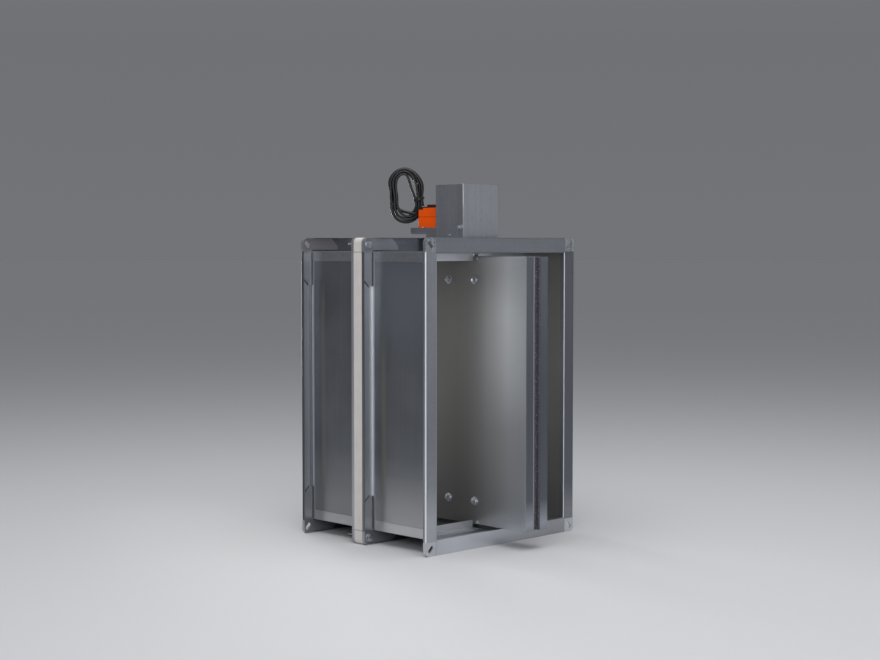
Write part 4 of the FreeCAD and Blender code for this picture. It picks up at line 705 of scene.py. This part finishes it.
# %% Dress every node
DRESS = [
    (panel_steel, ["casing_front_left", "casing_front_right", "casing_rear_left", "casing_rear_right"]),
    (frame_upright, ["flange_inlet_left", "flange_inlet_right", "flange_outlet_left", "flange_outlet_right",
                     "flange_break_front_uprights", "flange_break_rear_uprights"]),
    (casing_level, ["casing_front_top", "casing_front_bottom", "casing_rear_top", "casing_rear_bottom"]),
    (frame_level, ["flange_inlet_top", "flange_inlet_bottom", "flange_outlet_top", "flange_outlet_bottom",
                   "flange_break_front_levels", "flange_break_rear_levels"]),
    (stop_steel, ["front_stops", "rear_stops"]),
    (cover_steel, ["cover_box"]),
    (console_steel, ["console"]),
    (corner_steel, ["corners_inlet", "corners_break_front", "corners_break_rear", "corners_outlet"]),
    (blade_steel, ["blade_cassette_left", "blade_cassette_right"]),
    (zinc, ["joint_bolts", "joint_nuts", "blade_bolts", "blade_nuts", "cover_screws"]),
    (turned_steel, ["shaft_bracket_upper", "shaft_bracket_lower", "drive_shaft", "idle_shaft", "shaft_clamp"]),
    (board, ["break_board_left", "break_board_top", "break_board_right", "break_board_bottom",
             "blade_core_left", "blade_core_right"]),
    (dark_board, ["blade_centre_board"]),
    (seal_rubber, ["blade_seal"]),
    (bronze, ["upper_bush", "lower_bush"]),
    (brass, ["temperature_probe"]),
    (orange, ["actuator_housing"]),
    (black, ["actuator_cable_end", "tripping_device", "cable_tie"]),
    (red, ["position_pointer", "test_button"]),
]


def dress(piece, material):
    """Give a piece one finish all over."""
    piece.data.materials.clear()
    piece.data.materials.append(material)


for material, names in DRESS:
    for name in names:
        dress(nodes[name], material)
for cable in (supply, signal):
    dress(cable, sheath)
print("dressed nodes:", sum(len(names) for material, names in DRESS))

# %% [markdown]
# ## Bolts with chamfers and threads
# A workshop bolt is pressed, then its thread is rolled: crests and roots follow each other every
# 1.25 mm. One bolt is modelled on the Z axis with its seat at the origin and stamped where it is
# needed, each copy with a mesh of its own.

# %% Helpers for modelled pieces
# An edge sharper than this is bevelled and stays an edge
SHARP = math.radians(35)


def begin():
    """Leave edit mode behind and let go of everything."""
    if bpy.context.mode != "OBJECT":
        bpy.ops.object.mode_set(mode="OBJECT")
    bpy.ops.object.select_all(action="DESELECT")


def finish_mesh(piece, bevel=0.0):
    """Break the sharp edges by a bevel in millimetres, and shade smooth between them."""
    begin()
    piece.select_set(True)
    bpy.context.view_layer.objects.active = piece
    if bevel:
        modifier = piece.modifiers.new("edges", "BEVEL")
        modifier.width = bevel * mm
        modifier.segments = 2
        modifier.limit_method = "ANGLE"
        modifier.angle_limit = SHARP
        bpy.ops.object.modifier_apply(modifier="edges")
    bpy.ops.object.shade_smooth_by_angle(angle=SHARP)
    return piece


def disc(name, radius, start, end, sides=32, bevel=0.0):
    """A round or many-sided block on the Z axis between two heights, in millimetres."""
    begin()
    bpy.ops.mesh.primitive_cylinder_add(
        vertices=sides, radius=radius * mm, depth=(end - start) * mm, location=(0, 0, (start + end) / 2 * mm))
    bpy.ops.object.transform_apply(location=True, rotation=True, scale=True)
    piece = bpy.context.object
    piece.name = name
    return finish_mesh(piece, bevel)


def joined(name, members):
    """Some pieces made one."""
    begin()
    for member in members:
        member.select_set(True)
    bpy.context.view_layer.objects.active = members[0]
    bpy.ops.object.join()
    members[0].name = name
    members[0].data.name = name
    return members[0]


def without(piece, tool):
    """Cut one piece out of another."""
    begin()
    piece.select_set(True)
    bpy.context.view_layer.objects.active = piece
    cut = piece.modifiers.new("cut", "BOOLEAN")
    cut.operation = "DIFFERENCE"
    cut.solver = "EXACT"
    cut.object = tool
    bpy.ops.object.modifier_apply(modifier="cut")
    bpy.data.objects.remove(tool)
    return piece


print("an edge is sharp over", round(math.degrees(SHARP)), "degrees")

# %% [markdown]
# ## One pattern, many copies
# A workshop takes bolts out of a box, and they are all alike. So a fixing is modelled once at the
# origin, standing on the Z axis. Its copies are turned and moved in their meshes, which leaves
# every object at the origin, where the export wants it.

# %% Stamp copies
QUARTER = math.pi / 2
TURNS = {
    "+X": Matrix.Rotation(QUARTER, 4, "Y"), "-X": Matrix.Rotation(-QUARTER, 4, "Y"),
    "+Y": Matrix.Rotation(-QUARTER, 4, "X"), "+Z": Matrix(),
}


def stamp(pattern, name, at, facing, body, material, hides=()):
    """Copy a piece to a place in millimetres, with its Z axis turned to face a direction."""
    mesh = pattern.data.copy()
    mesh.transform(Matrix.Translation(place(*at)) @ TURNS[facing])
    mesh.materials.clear()
    mesh.materials.append(material)
    mesh.name = name
    copy = bpy.data.objects.new(name, mesh)
    scene.collection.objects.link(copy)
    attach(copy, body)
    if hides:
        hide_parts(*hides)
    return copy


def away_with(*patterns):
    """Put the patterns away once their copies are made."""
    for pattern in patterns:
        bpy.data.objects.remove(pattern)


print("directions a copy can face:", *TURNS)

# %% [markdown]
# ## Eight bolts
# M8 bolts with a collar clamp the casing's two halves and the blade's two cassettes. The head is a
# six-sided block, the collar and the shank are round, and the thread is drawn up ring by ring from
# a disc, wide and narrow by turns. Rings in place of a true helix look the same at this size and
# have half the faces.

# %% Threaded bolts
BOLT_RADIUS, THREAD_ROOT, PITCH = 4.0, 3.4, 1.25
# A spanner takes 13 mm across the flats, so the corners lie a little further out
HEX_CORNER = 13 / math.sqrt(3)
COLLAR_TOP, HEAD_TOP = -1.6, -6.9


def threaded_rod(name, start, end):
    """A rod on the Z axis with a rolled thread, drawn up ring by ring from a disc."""
    begin()
    bpy.ops.mesh.primitive_circle_add(
        vertices=24, radius=THREAD_ROOT * mm, fill_type="NGON", location=(0, 0, start * mm))
    bpy.ops.object.transform_apply(location=True, rotation=True, scale=True)
    rod = bpy.context.object
    bpy.ops.object.mode_set(mode="EDIT")
    bpy.ops.mesh.select_all(action="SELECT")
    widen = BOLT_RADIUS / THREAD_ROOT
    for ring in range(int((end - start) / PITCH)):
        for factor in (widen, 1 / widen):
            bpy.ops.mesh.extrude_region_move(
                TRANSFORM_OT_translate={"value": (0, 0, PITCH / 2 * mm)})
            bpy.ops.transform.resize(value=(factor, factor, 1))
    bpy.ops.mesh.select_all(action="SELECT")
    bpy.ops.mesh.normals_make_consistent(inside=False)
    bpy.ops.object.mode_set(mode="OBJECT")
    rod.name = name
    return finish_mesh(rod)


def hex_bolt(name, collar_radius, thread_start, thread_end):
    """A bolt on the Z axis: its head below the seat at zero, its thread above."""
    return joined(name, [
        disc("head", HEX_CORNER, HEAD_TOP, COLLAR_TOP, sides=6, bevel=0.5),
        disc("collar", collar_radius, COLLAR_TOP, 0, sides=40, bevel=0.35),
        disc("shank", BOLT_RADIUS - 0.02, -2, thread_start, sides=24),
        threaded_rod("thread", thread_start, thread_end),
    ])


joint_bolt = hex_bolt("joint_bolt", 8.5, 20, 61.6)
JOINT_BOLTS = [(-216.5, -316.5), (-216.5, 316.5), (216.5, -316.5), (216.5, 316.5)]
for index, (x, z) in enumerate(JOINT_BOLTS):
    stamp(joint_bolt, f"joint_bolt_{index + 1}", (x, 194.8, z), "+Y", "casing", zinc,
          ["joint_bolts"])
blade_bolt = hex_bolt("blade_bolt", 10, 60, 79.1)
BLADE_BOLTS = [(51, -241), (51, 241), (131, -241), (131, 241)]
for index, (y, z) in enumerate(BLADE_BOLTS):
    stamp(blade_bolt, f"blade_bolt_{index + 1}", (-34, y, z), "+X", "blade", zinc,
          ["blade_bolts"])
away_with(joint_bolt, blade_bolt)
print("bolts:", len(JOINT_BOLTS) + len(BLADE_BOLTS))

# %% [markdown]
# ## Blind rivets
# A rivet's head is all that shows on each cassette, close to the blade's ends. It is a low disc
# with a wide bevel, which gives the mushroom shape.

# %% Rivets on the blade
rivet = disc("rivet", 3.2, -0.5, 1.4, sides=24, bevel=1.0)
RIVET_FACES = [("left", "-X", -34, 42), ("right", "+X", 34, 140)]
RIVET_HEIGHTS = [("low", -286), ("high", 286)]
for name, facing, x, y in RIVET_FACES:
    for end, z in RIVET_HEIGHTS:
        stamp(rivet, f"blade_rivet_{name}_{end}", (x, y, z), facing, "blade", zinc)
away_with(rivet)
print("rivets:", len(RIVET_FACES) * len(RIVET_HEIGHTS))

# %% [markdown]
# ## Cross-headed screws and a knob
# Small pan-head screws hold the cover, the actuator and its cable end. The recess is cut with two
# crossed blocks, because it has to be a real hollow in the mesh. The upper left screw of
# the cover has a knob that fingers can turn.

# %% Cross-headed screws


def cross_head(name, radius, height):
    """A pan head on the Z axis with a cross recess."""
    head = disc(name, radius, -0.5, height, sides=32, bevel=min(0.9, height / 2))
    for turn in (0, math.pi / 2):
        begin()
        bpy.ops.mesh.primitive_cube_add(size=1, location=(0, 0, height * mm), rotation=(0, 0, turn))
        slot_block = bpy.context.object
        slot_block.scale = (radius * 1.15 * mm, radius * 0.26 * mm, height * 1.1 * mm)
        bpy.ops.object.transform_apply(location=True, rotation=True, scale=True)
        head = without(head, slot_block)
    return finish_mesh(head)


cover_head = cross_head("cover_screw_head", 3, 2.6)
COVER_SCREWS = [
    ("cover_screw_left", -55, 107.5, 337, "-X"),
    ("cover_screw_right_low", 55, 107.5, 337, "+X"),
    ("cover_screw_right_high", 55, 73, 354, "+X"),
]
for name, x, y, z, facing in COVER_SCREWS:
    stamp(cover_head, name, (x, y, z), facing, "casing", zinc, ["cover_screws"])
knob = joined("cover_knob", [
    disc("collar", 5.5, -0.5, 1.5, sides=40, bevel=0.4),
    disc("neck", 2, 0, 4, sides=20),
    disc("knob", 3.75, 3.5, 9.5, sides=28, bevel=0.7),
])
stamp(knob, "cover_knob_screw", (-55, 73, 354), "-X", "casing", zinc, ["cover_screws"])
small_head = cross_head("small_screw_head", 2.6, 1.8)
DRIVE_SCREWS = [(-48, 199.7, 354), (48, 199.7, 354), (-34, 214, 400.5), (34, 214, 400.5)]
for index, (x, y, z) in enumerate(DRIVE_SCREWS):
    stamp(small_head, f"drive_screw_{index + 1}", (x, y, z), "+Z", "casing", zinc)
away_with(cover_head, knob, small_head)
print("screws:", len(COVER_SCREWS) + len(DRIVE_SCREWS), "and a knob")

# %% [markdown]
# ## Small things on the drive
# Moulded rings on the glands grip the cables, a bezel frames the test button and a small lamp
# beside it shows that the tripping device has power. A torus gives rings their round edge.

# %% Gland rings, button bezel and lamp
# Moulded clear plastic over a lamp: smooth, deep green, with a sharp highlight
lamp_green = moulded("green_signal_lens", "2E8C46", 0.2, specular=0.6)


def ring(name, radius, thickness):
    """A round ring about the Z axis, in millimetres."""
    begin()
    bpy.ops.mesh.primitive_torus_add(
        major_radius=radius * mm, minor_radius=thickness * mm, major_segments=40, minor_segments=12)
    piece = bpy.context.object
    piece.name = name
    return finish_mesh(piece)


gland_ring = ring("gland_ring", 5.2, 0.7)
RING_PLACES = (232.5, 234.7, 236.9)
for name, x in zip(("supply", "signal"), GLANDS_X):
    for index, y in enumerate(RING_PLACES):
        stamp(gland_ring, f"{name}_gland_ring_{index + 1}", (x, y, GLAND_HEIGHT), "+Y", "casing",
              black)
bezel = ring("button_bezel", 4.8, 0.6)
stamp(bezel, "test_button_bezel", (40, 172, 337.5), "+Y", "casing", black)
lens = disc("lens", 1.6, -0.5, 0.9, sides=24, bevel=0.6)
stamp(lens, "tripping_device_lamp", (40, 172, 325), "+Y", "casing", lamp_green)
away_with(gland_ring, bezel, lens)
print("gland rings:", len(GLANDS_X) * len(RING_PLACES), "and one bezel and one lamp")

# %% [markdown]
# ## Stripped cores
# An electrician strips each cable's sheath and presses a ferrule on every core. The cores start
# inside the sheath and leave it in the direction of the cable's last stretch, side by side.

# %% Stripped cores with ferrules
# Extruded insulation: small spots of colour, and only at the cables' ends
core_blue = moulded("blue_core_insulation", "2A4C8C", 0.4)
core_brown = moulded("brown_core_insulation", "6A3A22", 0.4)
core_white = moulded("white_core_insulation", "D8D6D0", 0.4)
SUPPLY_CORES, SIGNAL_CORES = [core_blue, core_brown], [core_blue, core_white, core_brown]
CORE_SPREAD = 1.9
# Name, radius, and where it starts and stops from the end of the sheath
CORE, FERRULE = ("core", 0.95, -3, 7), ("ferrule", 0.75, 6.5, 13)


def along(direction):
    """Turn the Z axis to a direction."""
    return direction.to_track_quat("Z", "Y").to_matrix().to_4x4()


def strip_end(name, line, materials):
    """Cores that leave the end of a cable, each with a ferrule."""
    end, direction = line[-1], (line[-1] - line[-2]).normalized()
    aside = direction.cross(HANK_AWAY).normalized()
    for index, material in enumerate(materials):
        offset = aside * CORE_SPREAD * mm * (index - (len(materials) - 1) / 2)
        for (part, radius, start, stop), coat in ((CORE, material), (FERRULE, zinc)):
            pattern = disc(part, radius, start, stop, sides=16, bevel=0.2)
            piece = stamp(pattern, f"{name}_{part}_{index + 1}", (0, 0, 0), "+Z", "casing", coat)
            piece.data.transform(Matrix.Translation(end + offset) @ along(direction))
            away_with(pattern)


strip_end("supply", supply_line, SUPPLY_CORES)
strip_end("signal", signal_line, SIGNAL_CORES)
print("cores:", len(SUPPLY_CORES), "on the supply cable,", len(SIGNAL_CORES), "on the signal cable")

# %% [markdown]
# ## The studio floor
# The damper stands on a plain pale floor, so wide that its edge lies on the horizon. The floor is no
# part of the damper.

# %% Lay the floor
floor_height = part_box("flange_inlet_bottom")[0].z
bpy.ops.object.select_all(action="DESELECT")
bpy.ops.mesh.primitive_circle_add(vertices=96, radius=60, fill_type="NGON", location=(0, 0, floor_height))
floor = bpy.context.object
floor.name = "studio_floor"
# Matt paint: pale, without any reflection
floor_paint, tree, shader, spots = new_material("studio_floor_paint")
shader.inputs["Base Color"].default_value = colour("D8D9DB")
shader.inputs["Roughness"].default_value = 0.9
floor.data.materials.append(floor_paint)
print("the floor lies at", round(floor_height, 4), "m")

# %% [markdown]
# ## The room
# Metal shows the room more than itself. A dim room with a slow change from the horizon to the
# ceiling gives the sheets their depth. A picture of a real room would work too, but it would bring
# shapes of its own into every reflection.

# %% Paint the room
# Height of the view's direction, from the horizon at 0 to straight up at 1, and the grey there
ROOM = ((0.0, "737477"), (0.12, "707174"), (0.5, "8A8B8E"), (0.9, "8A8B8E"), (1.0, "8A8B8E"))
world = bpy.data.worlds.new("studio")
scene.world = world
world.use_nodes = True
tree = world.node_tree
tree.nodes.clear()
sky = add_node(tree, "TexCoord").outputs["Generated"]
height = add_node(tree, "SeparateXYZ", {"Vector": sky}).outputs["Z"]
ramp = add_node(tree, "ValToRGB", {"Fac": height})
stops = ramp.color_ramp.elements
for position, code in ROOM[1:-1]:
    stops.new(position)
for stop, (position, code) in zip(stops, ROOM):
    stop.color = colour(code)
background = add_node(tree, "Background", {"Color": ramp.outputs[0], "Strength": 1.0})
add_node(tree, "OutputWorld", {"Surface": background.outputs[0]})
print("greys in the room, from the horizon up:", *[code for position, code in ROOM])

# %% [markdown]
# ## Soft lamps
# A photographer lights metal with large soft boxes, because a small lamp would leave a hard spot
# on every fold. The large one above does most of the work. Those in front keep the near faces
# even, a narrow one draws a line down the right edge, and a faint one shines through the duct.

# %% Set up the lamps


def softbox(name, at, towards, size, power):
    """A rectangular lamp, aimed from one place to another, in metres and watts."""
    lamp = bpy.data.lights.new(name, "AREA")
    lamp.shape = "RECTANGLE"
    lamp.size, lamp.size_y = size
    lamp.energy = power
    box = bpy.data.objects.new(name, lamp)
    scene.collection.objects.link(box)
    box.location = at
    box.rotation_euler = (Vector(towards) - Vector(at)).to_track_quat("-Z", "Y").to_euler()
    return box


SOFTBOXES = [
    ("camera_softbox", (-2.9, -2.7, 1.1), (0, 0.1, 0), (1.6, 1.0), 30),
    ("front_softbox", (-1.5, -3.0, 0.45), (0, 0.1, 0), (1.4, 0.9), 10),
    ("right_softbox", (2.2, -2.2, 0.4), (0, 0, 0), (0.12, 1.0), 2),
    ("top_softbox", (-0.4, -0.4, 2.6), (0, 0, 0), (3.0, 3.0), 62),
    ("duct_softbox", (0.3, 1.6, 0.1), (-0.12, 0.4, 0), (0.8, 0.4), 1.4),
]
lamps = [softbox(*settings) for settings in SOFTBOXES]
# The last one stands behind the open duct, so it stays out of the picture and keeps to the duct
duct_light = lamps[-1]
duct_light.visible_camera = False
duct_light.data.spread = math.radians(36)
print("lamps:", len(lamps), "with", round(sum(lamp.data.energy for lamp in lamps), 1), "W in all")
